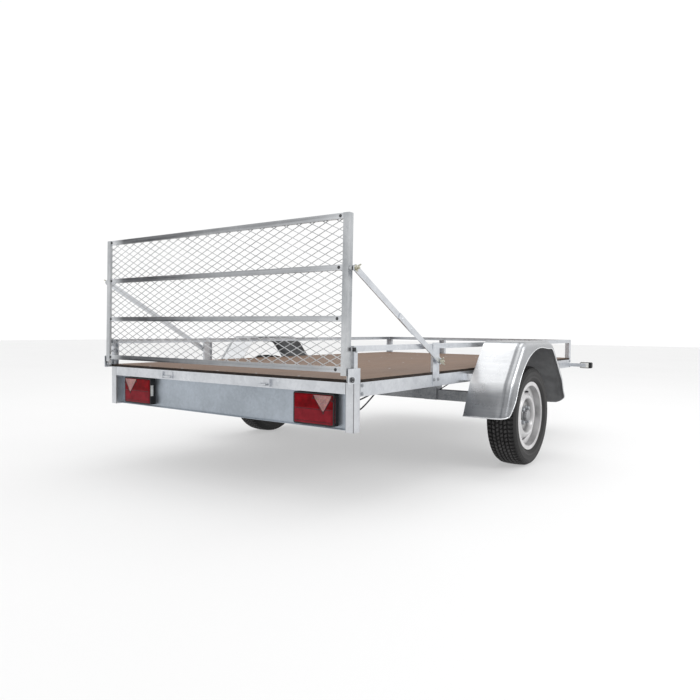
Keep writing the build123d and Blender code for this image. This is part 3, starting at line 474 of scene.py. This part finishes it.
LOOKS = {
    GALV: "side_members cross_members rear_cross_member rear_upper_posts mid_posts"
    " front_posts side_rails front_rail gate_brackets drawbar_arms drawbar_nose"
    " jockey_carrier jockey_outer_tube fender_straps position_lamp_arms lashing_hooks stay_right"
    " stay_left jockey_inner_tube jockey_fork jockey_crank coupling_head",
    GALV_POST: "rear_lower_posts",
    GALV_GATE: "gate_posts",
    GALV_RAIL: "gate_rails",
    GALV_MESH: "gate_mesh",
    SHEET: "lamp_board",
    FENDER: "fender_right fender_left",
    AXLE_SHADED: "axle_beam axle_hangers swing_arms",
    DULL: "hub_right hub_left",
    PLY: "floor",
    RUBBER: "tyre_right tyre_left jockey_tyre",
    RIM: "rim_right rim_left",
    BLACK: "tail_lamp_housings gate_catches position_lamps coupling_handle jockey_rim",
    LEAD: "lamp_leads",
    RED: "tail_lamp_lenses",
}
for look, names in LOOKS.items():
    for name in names.split():
        data = nodes[name].data
        data.materials.clear()
        data.materials.append(look)

# ---------------------------------------------------------------- mesh helpers


def piece(name, bm, look, body, smooth=40.0):
    """A finished object from a bmesh, riding on a body."""
    bmesh.ops.recalc_face_normals(bm, faces=bm.faces)
    data = bpy.data.meshes.new(name)
    bm.to_mesh(data)
    bm.free()
    for each in look if isinstance(look, tuple) else (look,):
        data.materials.append(each)
    made = bpy.data.objects.new(name, data)
    bpy.context.scene.collection.objects.link(made)
    for face in data.polygons:
        face.use_smooth = True
    data.set_sharp_from_angle(angle=math.radians(smooth))
    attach(made, body)
    return made


def frame_of(direction):
    """A matrix that turns +Z to the direction."""
    return Vector(direction).to_track_quat("Z", "Y").to_matrix().to_4x4()


def join_rings(bm, rings):
    """Faces between rings of as many vertices each, and a cap at both ends."""
    count = len(rings[0])
    for low, high in zip(rings, rings[1:]):
        for i in range(count):
            j = (i + 1) % count
            bm.faces.new((low[i], low[j], high[j], high[i]))
    bm.faces.new(reversed(rings[0]))
    bm.faces.new(rings[-1])


def add_prism(bm, centre, direction, sides, profile, turn=0.0):
    """A stepped prism of (radius, height) rings along the direction, in millimetres."""
    place = Matrix.Translation(centre) @ frame_of(direction) @ Matrix.Rotation(turn, 4, "Z")
    rings = []
    for radius, height in profile:
        ring = []
        for i in range(sides):
            a = 2 * math.pi * i / sides
            point = Vector((radius * math.cos(a) * MM, radius * math.sin(a) * MM, height * MM))
            ring.append(bm.verts.new(place @ point))
        rings.append(ring)
    join_rings(bm, rings)


# A washer's thickness, and the rise of a domed head as a share of its radius.
WASHER_T = 1.4
DOME_RISE = 0.62


def add_bolt(bm, centre, direction, size, turn=0.3, dome=False, washer=True):
    """A hexagon or domed bolt head, on a washer or bare."""
    base = 0.0
    if washer:
        base = WASHER_T
        disc = [(size * 1.45, 0), (size * 1.5, 0.4), (size * 1.4, base)]
        add_prism(bm, centre, direction, 24, disc)
    if dome:
        angles = (0, 0.35, 0.7, 1.05, 1.4)
        rings = [(size * math.cos(a), base + size * DOME_RISE * math.sin(a)) for a in angles]
        add_prism(bm, centre, direction, 20, [(size, base - 0.3)] + rings)
        return
    head = [(size, base), (size, base + size * 0.6), (size * 0.84, base + size * 0.78)]
    add_prism(bm, centre, direction, 6, head, turn)


def add_block(bm, side, x, y, z, bevel):
    """A box with bevelled edges over (low, high) pairs, mirrored to the left if side is -1."""
    pairs = (sorted((side * x[0], side * x[1])), y, z)
    made = bmesh.ops.create_cube(bm, size=1.0)
    verts = made["verts"]
    for v in verts:
        v.co = at(*(low + (part + 0.5) * (high - low) for (low, high), part in zip(pairs, v.co)))
    edges = list({e for v in verts for e in v.link_edges})
    bmesh.ops.bevel(bm, geom=edges, offset=bevel * MM, segments=2, profile=0.6, affect="EDGES")


def add_tube(bm, points, radius, sides=12):
    """A round tube along points given in metres."""
    rings = []
    for i, point in enumerate(points):
        before = points[max(i - 1, 0)]
        after = points[min(i + 1, len(points) - 1)]
        place = Matrix.Translation(point) @ frame_of(after - before)
        ring = []
        for k in range(sides):
            a = 2 * math.pi * k / sides
            offset = Vector((radius * MM * math.cos(a), radius * MM * math.sin(a), 0))
            ring.append(bm.verts.new(place @ offset))
        rings.append(ring)
    join_rings(bm, rings)


# ---------------------------------------------------------------- tyres

# The tread: blocks round the tyre, steps in one block, half the width and the sample spacing.
PITCHES = 72
STEPS = 8
TREAD_HALF = 64.0
TREAD_STEP = 2.0
# Grooves that run round the tyre: their places across the tread, half their width, their depth.
GROOVES = (-42.0, -21.0, 0.0, 21.0, 42.0)
GROOVE_HALF = 3.1
GROOVE_DEPTH = 7.0
# The sidewall, from the bead to the shoulder, as (offset from the middle, radius).
WALL = [
    (58.0, 166.0), (61.0, 174.0), (61.5, 182.5), (66.0, 186.0), (71.0, 190.0), (74.5, 196.0),
    (76.2, 199.0), (77.6, 201.0), (77.6, 203.5), (78.6, 205.0), (79.4, 212.0), (79.9, 220.0),
    (79.7, 227.0), (79.0, 233.0), (79.6, 234.0), (79.0, 237.5), (77.6, 238.5), (76.0, 244.0),
    (73.4, 250.0), (70.0, 256.0),
]
# Where the outer and the inner blocks begin across the tread, from its middle.
OUTER_BLOCKS = 46.0
INNER_BLOCKS = 21.0
# Shoulder notches in the sidewall: the radii they span, their share of a pitch, their depth.
NOTCH_R = (250.0, 257.0)
NOTCH_SHARE = 0.30
NOTCH_DEPTH = 1.6


def tread_depth(u, v):
    """Groove depth in millimetres at offset u across the tread, v along one pitch (0 to 1)."""
    if any(abs(u - centre) < GROOVE_HALF for centre in GROOVES):
        return GROOVE_DEPTH
    a = abs(u)
    w = (v + (0.25 if u > 0 else 0.0)) % 1.0
    if a > OUTER_BLOCKS:
        return 6.0 if w < 0.26 else 0.0
    slant, depth = ((a - INNER_BLOCKS) / 50.0, 5.0) if a > INNER_BLOCKS else (u / 40.0, 4.5)
    return depth if abs((w + slant) % 1.0 - 0.5) < 0.13 else 0.0


def tread_radius(u):
    """The tread's crown: nearly flat, and falling faster past the outer blocks."""
    return 267.6 - 1.6 * (abs(u) / 40.0) ** 2 - max(0.0, abs(u) - 54.0) ** 1.5 * 0.16


def tyre(side, side_name):
    """A road tyre: grooved tread, shoulder blocks, ribbed sidewall and bead."""
    bm = bmesh.new()
    count = int(2 * TREAD_HALF / TREAD_STEP) + 1
    tread = [TREAD_STEP * k - TREAD_HALF for k in range(count)]
    segments = PITCHES * STEPS
    rows = []
    for i in range(segments):
        a = 2 * math.pi * i / segments
        v = (i % STEPS) / STEPS
        row = [(-x, r) for x, r in WALL]
        row += [(u, tread_radius(u) - tread_depth(u, v)) for u in tread]
        row += reversed(WALL)
        ring = []
        for x, r in row:
            if NOTCH_R[0] <= r <= NOTCH_R[1] and abs(x) > 68.0 and v < NOTCH_SHARE:
                x -= math.copysign(NOTCH_DEPTH, x)
            y, z = r * math.cos(a), r * math.sin(a)
            ring.append(bm.verts.new(at(side * WHEEL[0] + x, WHEEL[1] + y, WHEEL[2] + z)))
        rows.append(ring)
    for near, far in zip(rows, rows[1:] + rows[:1]):
        for k in range(len(near)):
            j = (k + 1) % len(near)
            bm.faces.new((near[k], near[j], far[j], far[k]))
    made = piece(f"road_tyre_{side_name}", bm, TREAD, f"wheel_{side_name}", 35.0)
    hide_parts(f"tyre_{side_name}")


for side, side_name in SIDES.items():
    tyre(side, side_name)

# ---------------------------------------------------------------- wheel fittings

# Profiles of (radius, height) rings, and where the parts sit on the wheel: how far out from its
# middle plane, at what radius and at what angle.
NUT_CIRCLE = 50
NUT_OUT = 30.5
CAP_OUT = 30.0
NUT = [(11.5, 0), (11.5, 13), (9.4, 17), (4.0, 18)]
NUT_SEAT = [(14.0, -0.3), (13.0, 3.0), (11.0, 4.5)]
GREASE_CAP = [
    (33.0, -0.5), (33.0, 3.0), (30.4, 5.0), (30.2, 20.0), (28.5, 25.5), (24.0, 28.5), (12.0, 30.0),
    (1.0, 30.4),
]
VALVE = [(4.5, -8), (4.5, 4), (3.4, 6), (3.4, 22), (4.6, 22), (4.6, 32), (3.8, 33.5)]
VALVE_OUT = 46
VALVE_R = 152
VALVE_TURN = 118


def on_wheel(side, out, radius, degrees):
    """A point of a road wheel: out from its middle plane, at a radius and an angle from +y."""
    a = math.radians(degrees)
    y, z = WHEEL[1] + radius * math.cos(a), WHEEL[2] + radius * math.sin(a)
    return at(side * (WHEEL[0] + out), y, z)


for side, side_name in SIDES.items():
    out = (side, 0, 0)
    bm = bmesh.new()
    for i in range(4):
        spot = on_wheel(side, NUT_OUT, NUT_CIRCLE, 45 - 90 * i)
        add_prism(bm, spot, out, 6, NUT, 0.2 * i)
        add_prism(bm, spot, out, 24, NUT_SEAT)
    piece(f"wheel_nuts_{side_name}", bm, DULL, f"wheel_{side_name}", 30.0)
    bm = bmesh.new()
    add_prism(bm, on_wheel(side, CAP_OUT, 0.0, 0), out, 48, GREASE_CAP)
    piece(f"grease_cap_{side_name}", bm, CAP, f"wheel_{side_name}", 30.0)
    bm = bmesh.new()
    add_prism(bm, on_wheel(side, VALVE_OUT, VALVE_R, VALVE_TURN), out, 16, VALVE)
    piece(f"valve_{side_name}", bm, BLACK, f"wheel_{side_name}", 30.0)

# ---------------------------------------------------------------- mudguards

# The mudguard across, its sheet, its shoulder's radius and the wheel opening's radius.
GUARD_X = (825.0, 1050.0)
GUARD_T = 3.0
SHOULDER = 30.0
ARCH_R = 368.0
# The top's points from its inner edge, and its groove as (distance before the shoulder, depth).
TOP_STEPS = (0.0, 50.0, 100.0, 135.0, 160.0)
GROOVE = ((13.0, 0.0), (9.0, 2.0), (6.0, 2.4), (2.0, 0.4))
# The skin's depth ahead of the wheel, and the stretch, from the wheel's middle, over which the
# skin narrows to it.
STRIP = SHOULDER + 5.0
STRIP_FROM = -20.0
STRIP_OVER = 250.0
# The rolled edge's radius, and how far above the arch's feet the sheet ends.
EDGE_R = 2.9
EDGE_LIFT = 2.6
# The rolled edge runs round the sheet's free rim. It may come back to the inner edge only after
# this many points, and there it stops below this height, in metres.
EDGE_POINTS = 30
FEET_TOP = 0.34
# The arch's corners (y from the wheel's middle, z) from the rear foot, and its four bend radii.
FOOT_Z = 298.0
ARCH = [
    (-473.0, FOOT_Z), (-397.0, 462.0), (-231.0, 668.0),
    (192.0, 668.0), (382.0, 462.0), (455.0, FOOT_Z),
]
BENDS = [70.0, 70.0, 120.0, 110.0]
BEND_STEPS = 10
# How far the feet's outer corners are rounded.
REAR_CORNER = 160.0
FRONT_CORNER = 120.0
# Shares of a straight run at which the arch has a section: closer together near a foot.
NEAR_FOOT = [0.0, 0.03, 0.08, 0.15, 0.24, 0.34, 0.45, 0.58, 0.72, 0.86, 1.0]
ALONG = [k / 8 for k in range(1, 9)]


def arch_stations():
    """Points (y, z) of the mudguard's arch and unit normals out of it, from the rear foot."""
    corners = [Vector(c) for c in ARCH]
    stations = []

    def run(a, b, shares):
        along = (b - a).normalized()
        for share in shares:
            stations.append((a.lerp(b, share), Vector((-along.y, along.x))))

    start = corners[0]
    for n, bend in enumerate(BENDS, 1):
        before = (corners[n] - corners[n - 1]).normalized()
        after = (corners[n + 1] - corners[n]).normalized()
        turn = before.angle(after)
        reach = bend * math.tan(turn / 2)
        a, b = corners[n] - before * reach, corners[n] + after * reach
        run(start, a, NEAR_FOOT if n == 1 else ALONG)
        out = Vector((-before.y, before.x))
        middle = a - out * bend
        for k in range(1, BEND_STEPS + 1):
            part = -turn * k / BEND_STEPS
            c, s = math.cos(part), math.sin(part)
            normal = Vector((out.x * c - out.y * s, out.x * s + out.y * c))
            stations.append((middle + normal * bend, normal))
        start = b
    run(start, corners[-1], [1.0 - share for share in reversed(NEAR_FOOT)][1:])
    return stations


def skin_low(point, normal):
    """Where the outer skin ends below a point of the arch: the wheel cut, or a narrow strip."""
    strip = point - normal * STRIP
    centre = Vector((0.0, WHEEL[2]))
    toward = (centre - point).normalized()
    cut = centre - toward * ARCH_R
    ahead = min(1.0, max(0.0, (point.x - STRIP_FROM) / STRIP_OVER))
    ahead = ahead * ahead * (3.0 - 2.0 * ahead)
    return cut.lerp(strip, ahead)


def section(point, normal, low):
    """The mudguard's outer section at a station, from its inner edge outwards: flat, groove,
    shoulder and skin."""
    line = [(GUARD_X[0] + step, 0.0) for step in TOP_STEPS]
    line += [(GUARD_X[1] - SHOULDER - before, depth) for before, depth in GROOVE]
    for k in range(1, 9):
        a = math.radians(90.0 * k / 8)
        line.append((GUARD_X[1] - SHOULDER * (1 - math.sin(a)), SHOULDER * (1 - math.cos(a))))
    spots = [(x, point - normal * depth) for x, depth in line]
    edge = spots[-1][1]
    spots += [(GUARD_X[1], edge.lerp(low, k / 6)) for k in range(1, 7)]
    return [Vector((x, *yz)) for x, yz in spots]


def foot_cut(height, corner):
    """What a foot's rounded corner takes off the section's outer end, that far up the arch."""
    if height >= corner:
        return 0.0
    return corner - math.sqrt(corner**2 - (corner - height) ** 2)


def shortened(line, cut):
    """A section with a length taken off its outer end: the points past it move to the new end."""
    lengths = [(b - a).length for a, b in zip(line, line[1:])]
    limit = sum(lengths) - cut
    kept = [line[0]]
    gone = 0.0
    end = None
    for length, a, b in zip(lengths, line, line[1:]):
        if end is None and gone + length > limit:
            end = a.lerp(b, (limit - gone) / length)
        kept.append(end or b)
        gone += length
    return kept


def sheet_back(bm):
    """The back of a sheet and its rim faces, GUARD_T behind the faces in the mesh."""
    bm.normal_update()
    back = {v: bm.verts.new(v.co - v.normal * GUARD_T * MM) for v in bm.verts[:]}
    borders = [(edge, edge.link_faces[0]) for edge in bm.edges if edge.is_boundary]
    for face in bm.faces[:]:
        bm.faces.new([back[v] for v in reversed(face.verts)]).material_index = 1
    for edge, face in borders:
        a, b = edge.verts
        spots = list(face.verts)
        if spots[(spots.index(a) + 1) % len(spots)] != b:
            a, b = b, a
        bm.faces.new((b, a, back[a], back[b]))


def edge_key(point):
    """A point rounded so that the ends of neighbouring edges compare as equal."""
    return tuple(round(c, 5) for c in point)


def on_inner_edge(point):
    """Whether a point lies on the mudguard's edge beside the frame."""
    return abs(abs(point[0]) - GUARD_X[0] * MM) < 0.0001


def outer_rim(edges):
    """The sheet's free rim as one line of points, from one end of its inner edge round."""
    links = {}
    for a, b in edges:
        links.setdefault(edge_key(a), []).append(b)
        links.setdefault(edge_key(b), []).append(a)
    ends = [key for key in links if on_inner_edge(key)]
    start = min(ends, key=lambda key: (key[2], key[1]))
    line = [Vector(start)]
    seen = {start}
    while True:
        ahead = [p for p in links[edge_key(line[-1])] if edge_key(p) not in seen]
        ahead = [p for p in ahead if not on_inner_edge(p) or len(line) > EDGE_POINTS]
        if not ahead or (on_inner_edge(ahead[0]) and ahead[0][2] > FEET_TOP):
            return line
        seen.add(edge_key(ahead[0]))
        line.append(Vector(ahead[0]))


def mudguard(side, side_name):
    """A pressed sheet arch: flat top, grooved and rounded shoulder, skin with a rolled edge."""
    stations = arch_stations()
    steps = [(b[0] - a[0]).length for a, b in zip(stations, stations[1:])]
    lowest = FOOT_Z + EDGE_LIFT
    bm = bmesh.new()
    rows = []
    for n, (point, normal) in enumerate(stations):
        cut = max(foot_cut(sum(steps[:n]), REAR_CORNER), foot_cut(sum(steps[n:]), FRONT_CORNER))
        line = shortened(section(point, normal, skin_low(point, normal)), cut)
        rows.append([
            bm.verts.new(at(side * c.x, WHEEL[1] + c.y, max(c.z, lowest))) for c in line
        ])
    for a, b in zip(rows, rows[1:]):
        for k in range(len(a) - 1):
            bm.faces.new((a[k], a[k + 1], b[k + 1], b[k]))
    bmesh.ops.remove_doubles(bm, verts=bm.verts[:], dist=0.0006)
    bmesh.ops.dissolve_degenerate(bm, edges=bm.edges[:], dist=0.0003)
    bmesh.ops.recalc_face_normals(bm, faces=bm.faces)
    top = max(bm.faces, key=lambda f: f.calc_center_median().z)
    if top.normal.z < 0:
        bmesh.ops.reverse_faces(bm, faces=bm.faces[:])
    rim_edges = [tuple(v.co.copy() for v in e.verts) for e in bm.edges if e.is_boundary]
    sheet_back(bm)
    made = piece(f"mudguard_{side_name}", bm, (FENDER, UNDERSIDE_SHADE), "chassis", 50.0)
    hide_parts(f"fender_{side_name}")
    bm = bmesh.new()
    add_tube(bm, outer_rim(rim_edges), EDGE_R, 10)
    piece(f"mudguard_edge_{side_name}", bm, GUARD_EDGE, "chassis", 60.0)


for side, side_name in SIDES.items():
    mudguard(side, side_name)

# ---------------------------------------------------------------- lamp fittings

# The triangle reflector: corners and middle as (x, z), and its layers as (y, share of its size).
TRIANGLE = [
    (582.0, 457.5), (673.0, 457.5), (668.0, 446.0), (636.0, 396.0), (632.0, 392.5),
    (627.0, 396.0), (590.0, 444.0),
]
TRIANGLE_MIDDLE = (629.0, 434.0)
TRIANGLE_LAYERS = ((6.2, 1.0), (4.2, 1.0), (3.5, 0.94))
# The lens's seams: where they lie in y, their radius, the slanted ribs and the studs.
SEAM_Y = 4.9
SEAM_R = 1.9
SEAMS = (((579.0, 456.0), (630.0, 390.0)), ((676.0, 452.0), (634.0, 390.0)))
STUDS = ((579.0, 444.0), (633.0, 386.5), (676.0, 438.0))
STUD = [(4.0, -1.5), (4.0, 0.6), (2.6, 1.1), (2.0, 0.4)]

for side, side_name in SIDES.items():
    bm = bmesh.new()
    cx, cz = TRIANGLE_MIDDLE
    rings = [
        [
            bm.verts.new(at(side * (cx + (x - cx) * grow), y, cz + (z - cz) * grow))
            for x, z in TRIANGLE
        ]
        for y, grow in TRIANGLE_LAYERS
    ]
    join_rings(bm, rings)
    piece(f"triangle_reflector_{side_name}", bm, REFLECTOR, "chassis", 20.0)
    bm = bmesh.new()
    for ends in SEAMS:
        add_tube(bm, [at(side * x, SEAM_Y, z) for x, z in ends], SEAM_R, 8)
    for x, z in STUDS:
        add_prism(bm, at(side * x, SEAM_Y, z), (0, -1, 0), 20, STUD)
    add_block(bm, side, (481, 675), (4.1, 5.6), (398.9, 401.1), 0.5)
    add_block(bm, side, (483, 673), (4.1, 5.6), (349.0, 350.6), 0.4)
    piece(f"lens_seams_{side_name}", bm, LENS_DARK, "chassis", 30.0)
    bm = bmesh.new()
    add_block(bm, side, (683.0, 684.6), (11.0, 19.0), (350.0, 450.0), 0.6)
    piece(f"side_reflector_{side_name}", bm, SIDE_RED, "chassis", 30.0)
    bm = bmesh.new()
    add_block(bm, side, (471.4, 473.0), (10.0, 26.0), (378.0, 432.0), 0.6)
    piece(f"plate_light_{side_name}", bm, WINDOW, "chassis", 30.0)

# ---------------------------------------------------------------- bolts and small steel parts

# The gate's rails by the height of their middles, and the rear face that the bolts stand on.
RAIL_Z = [567.2 + 196.8 * i for i in range(4)]
RAIL_FACE = -35.6
BOLT_RING = [(6.6, -0.2), (6.6, 0.5), (6.0, 0.9)]

bm = bmesh.new()
for i, z in enumerate(RAIL_Z):
    for x in (722.0 + 3.5 * i, -744.0):
        spot = on_gate(x, RAIL_FACE, z)
        add_bolt(bm, spot, (0, -1, 0), 5.4, 0.3 * i, dome=True, washer=False)
        add_prism(bm, spot, (0, -1, 0), 20, BOLT_RING)
piece("gate_rail_bolts", bm, BOLT, "tailgate", 35.0)

# A wing as (distance from the screw, height) corners, and half its thickness.
WING = [
    (4.0, 3.0), (9.0, 2.6), (16.0, 7.0), (19.0, 13.5), (17.5, 17.0), (13.5, 16.0), (9.0, 10.5),
    (4.0, 9.5),
]
WING_HALF = 1.7


def wing_nut(bm, centre, out, turn):
    """A wing nut with its washer, on a short screw end."""
    add_prism(bm, centre, out, 24, [(11.5, 0), (11.5, 1.6), (10.6, 2.0)])
    add_prism(bm, centre, out, 16, [(7.6, 1.8), (7.0, 6.0), (5.8, 11.0), (5.2, 11.6)])
    add_prism(bm, centre, out, 14, [(4.0, 11.0), (4.0, 17.0), (3.2, 18.0)])
    place = Matrix.Translation(centre) @ frame_of(out) @ Matrix.Rotation(turn, 4, "Z")
    for wing in (1, -1):
        join_rings(bm, [
            [bm.verts.new(place @ Vector((wing * r * MM, thick * MM, h * MM))) for r, h in WING]
            for thick in (-WING_HALF, WING_HALF)
        ])


# The outer face of the upper stay bar, the bar's thickness, and its clamp bolts along the stay.
STAY_OUT = HALF_W + 14.4
STAY_T = 4.0
CLAMP_SHARES = (0.395, 0.505)
SCREW_END = [(5.0, -3.0), (5.0, 3.4), (4.4, 3.9)]
PIN_RING = [
    (10.0, -4.6), (10.6, -4.6), (10.6, 0.3), (9.6, 1.0), (7.2, 1.2), (6.8, -0.4), (6.4, -0.5)
]
PIN_END = [(5.4, -0.6), (5.4, 1.8), (4.4, 2.6)]
# Frame bolts as (y, z): hexagons at the corners and at the mid posts, whose plate stands out by
# 3 mm, and domed ones along the side member and on the rear post.
CORNER_BOLTS = ((56.0, 504.0), (56.0, 471.0), (BED_L - 20.0, 505.0), (BED_L - 20.0, 470.0))
MID_BOLTS = ((MID_Y - 20.0, 492.0), (MID_Y + 20.0, 492.0))
MID_PLATE = 3.0
DOMED_BOLTS = ((1000.0, 488.0), (1420.0, 488.0), (1900.0, 488.0), (2350.0, 488.0), (12.0, 640.0))

for side, side_name in SIDES.items():
    out = (side, 0, 0)
    bm = bmesh.new()
    wing_nut(bm, at(side * STAY_OUT, *STAY_TOP), out, 0.9)
    add_prism(bm, at(side * (STAY_OUT - STAY_T), *STAY_TOP), (-side, 0, 0), 20, SCREW_END)
    piece(f"stay_top_nut_{side_name}", bm, YELLOW, f"stay_{side_name}", 30.0)
    bm = bmesh.new()
    wing_nut(bm, at(side * (STAY_OUT + 2 * STAY_T), *STAY_FOOT), out, 1.9)
    piece(f"stay_foot_nut_{side_name}", bm, YELLOW, "chassis", 30.0)
    bm = bmesh.new()
    foot = at(side * (STAY_OUT + STAY_T), *STAY_FOOT)
    rise = at(0, *STAY_TOP) - at(0, *STAY_FOOT)
    for share in CLAMP_SHARES:
        add_bolt(bm, foot + rise * share, out, 5.0, share * 9, dome=True, washer=False)
    piece(f"stay_clamp_bolts_{side_name}", bm, GALV, f"stay_{side_name}", 30.0)

    bm = bmesh.new()
    hub = at(side * (HALF_W + 10.0), *PIVOT)
    add_prism(bm, hub, out, 32, PIN_RING)
    add_prism(bm, hub, out, 6, PIN_END, 0.4)
    piece(f"hinge_pin_head_{side_name}", bm, BOLT, "chassis", 30.0)

    bm = bmesh.new()
    for y, z in CORNER_BOLTS:
        add_bolt(bm, at(side * HALF_W, y, z), out, 5.6, y)
    for y, z in MID_BOLTS:
        add_bolt(bm, at(side * (HALF_W + MID_PLATE), y, z), out, 6.0, y)
    for y, z in DOMED_BOLTS:
        add_bolt(bm, at(side * HALF_W, y, z), out, 5.0, y, dome=True)
    piece(f"frame_bolts_{side_name}", bm, DULL, "chassis", 30.0)

# Deck screws: rows of countersunk heads over the cross members.
SCREW_HEAD = [(6.0, -1.0), (6.0, 0.5), (4.6, 0.9), (3.4, 0.3)]
SCREW_Y = (22.0, 725.0, 1265.0, 1785.0, 2285.0, BED_L - 25.0)
SCREW_X = (-730, -490, -245, 0, 245, 490, 730)
bm = bmesh.new()
for y in SCREW_Y:
    for x in SCREW_X:
        add_prism(bm, at(x, y, FLOOR_TOP), (0, 0, 1), 16, SCREW_HEAD)
piece("deck_screws", bm, DULL, "chassis", 30.0)

# Front position lamps: a pale window in front, a strip on top and a plate on the arm's back.
LAMP_X = (864.0, 920.0)
LAMP_FRONT = BED_L + 12.0
for side, side_name in SIDES.items():
    bm = bmesh.new()
    add_block(bm, side, LAMP_X, (LAMP_FRONT - 1.0, LAMP_FRONT + 2.6), (462.0, 495.5), 1.4)
    add_block(bm, side, LAMP_X, (LAMP_FRONT - 26.0, LAMP_FRONT - 4.0), (498.0, 501.2), 1.0)
    add_block(bm, side, LAMP_X, (BED_L - 21.0, BED_L - 19.0), (461.5, 496.0), 0.8)
    piece(f"position_window_{side_name}", bm, WINDOW, "chassis", 30.0)

# Corner plates over the ends of the plywood edge at the front.
for side, side_name in SIDES.items():
    out = HALF_W + 1.6
    bm = bmesh.new()
    add_block(bm, side, (HALF_W - 0.5, out), (BED_L - 29.0, BED_L - 0.5), (512.0, 541.0), 0.5)
    add_bolt(bm, at(side * out, BED_L - 14.0, 534.0), (side, 0, 0), 3.4, 0.2, washer=False)
    piece(f"front_corner_plate_{side_name}", bm, GALV, "chassis", 30.0)

# Bolts through the coupling head and through the nose's plate.
bm = bmesh.new()
for y in (BALL_Y - 150.0, BALL_Y - 105.0):
    for z, up in ((468.0, 1), (400.0, -1)):
        add_bolt(bm, at(0, y, z), (0, 0, up), 9.0, 0.2)
for y in (BALL_Y - 400.0, BALL_Y - 320.0):
    for x in (-58.0, 58.0):
        add_bolt(bm, at(x, y, 466.0), (0, 0, 1), 7.0, 0.4)
piece("coupling_bolts", bm, YELLOW, "chassis", 30.0)

# The grip on the jockey leg's crank.
GRIP = [
    (10.0, -3.0), (12.0, 0.0), (12.6, 4.0), (11.6, 14.0), (12.6, 24.0), (12.0, 29.0), (9.0, 32.0),
    (4.0, 33.0),
]
bm = bmesh.new()
add_prism(bm, at(0, BALL_Y - 669.0, 612.0), (0, 0, 1), 24, GRIP)
piece("jockey_grip", bm, BLACK, "chassis", 40.0)

# ---------------------------------------------------------------- stage, light and camera

# Half the floor's side in metres, its glow, which keeps shadows light, and the sky's strength.
FLOOR_HALF = 30.0
FLOOR_GLOW = 0.42
SKY = 1.02

floor_bm = bmesh.new()
bmesh.ops.create_grid(floor_bm, x_segments=2, y_segments=2, size=FLOOR_HALF)
floor_data = bpy.data.meshes.new("studio_floor")
floor_bm.to_mesh(floor_data)
floor_bm.free()
studio = Paint("studio_floor")
studio.set(
    Base_Color=studio.ramp(studio.noise(0.6, 2.0), (0.2, 0.44), (0.8, 0.46)),
    Emission_Strength=FLOOR_GLOW,
    Roughness=0.9,
    Specular_IOR_Level=0.1,
)
floor_data.materials.append(studio.mat)
floor_object = bpy.data.objects.new("studio_floor", floor_data)
bpy.context.scene.collection.objects.link(floor_object)

world = bpy.data.worlds.new("studio")
bpy.context.scene.world = world
world.use_nodes = True
background = world.node_tree.nodes["Background"]
background.inputs["Color"].default_value = (1.0, 1.0, 1.0, 1)
background.inputs["Strength"].default_value = SKY


def softbox(name, place, aim, size, power):
    """A large soft rectangular light: place and aim in metres, power in watts."""
    data = bpy.data.lights.new(name, "AREA")
    data.shape = "RECTANGLE"
    data.size, data.size_y = size
    data.energy = power
    made = bpy.data.objects.new(name, data)
    made.location = place
    made.rotation_euler = (Vector(aim) - Vector(place)).to_track_quat("-Z", "Y").to_euler()
    bpy.context.scene.collection.objects.link(made)


softbox("key", (5.5, -1.0, 3.6), (0.6, -0.4, 0.5), (3.0, 2.0), 90)
softbox("top", (0.0, 0.5, 6.0), (0.0, 0.0, 0.4), (5.0, 5.0), 90)

# The camera: its lens in millimetres, its place in metres and its own axes in the frame.
LENS = 32.792
CAMERA_PLACE = (2.20319, -3.98631, 0.725595)
CAMERA_RIGHT = (0.81107403, 0.5848705, 0.00924139)
CAMERA_UP = (-0.02694524, 0.02157521, 0.99940405)
CAMERA_BACK = (0.58432256, -0.81083969, 0.03325857)

camera_data = bpy.data.cameras.new("camera")
camera_data.lens = LENS
camera_data.sensor_width = 36.0
camera = bpy.data.objects.new("camera", camera_data)
axes = Matrix((CAMERA_RIGHT, CAMERA_UP, CAMERA_BACK)).transposed().to_4x4()
camera.matrix_world = Matrix.Translation(CAMERA_PLACE) @ axes
bpy.context.scene.collection.objects.link(camera)
bpy.context.scene.camera = camera

bpy.context.scene.view_settings.view_transform = "Standard"
bpy.context.scene.view_settings.look = "None"
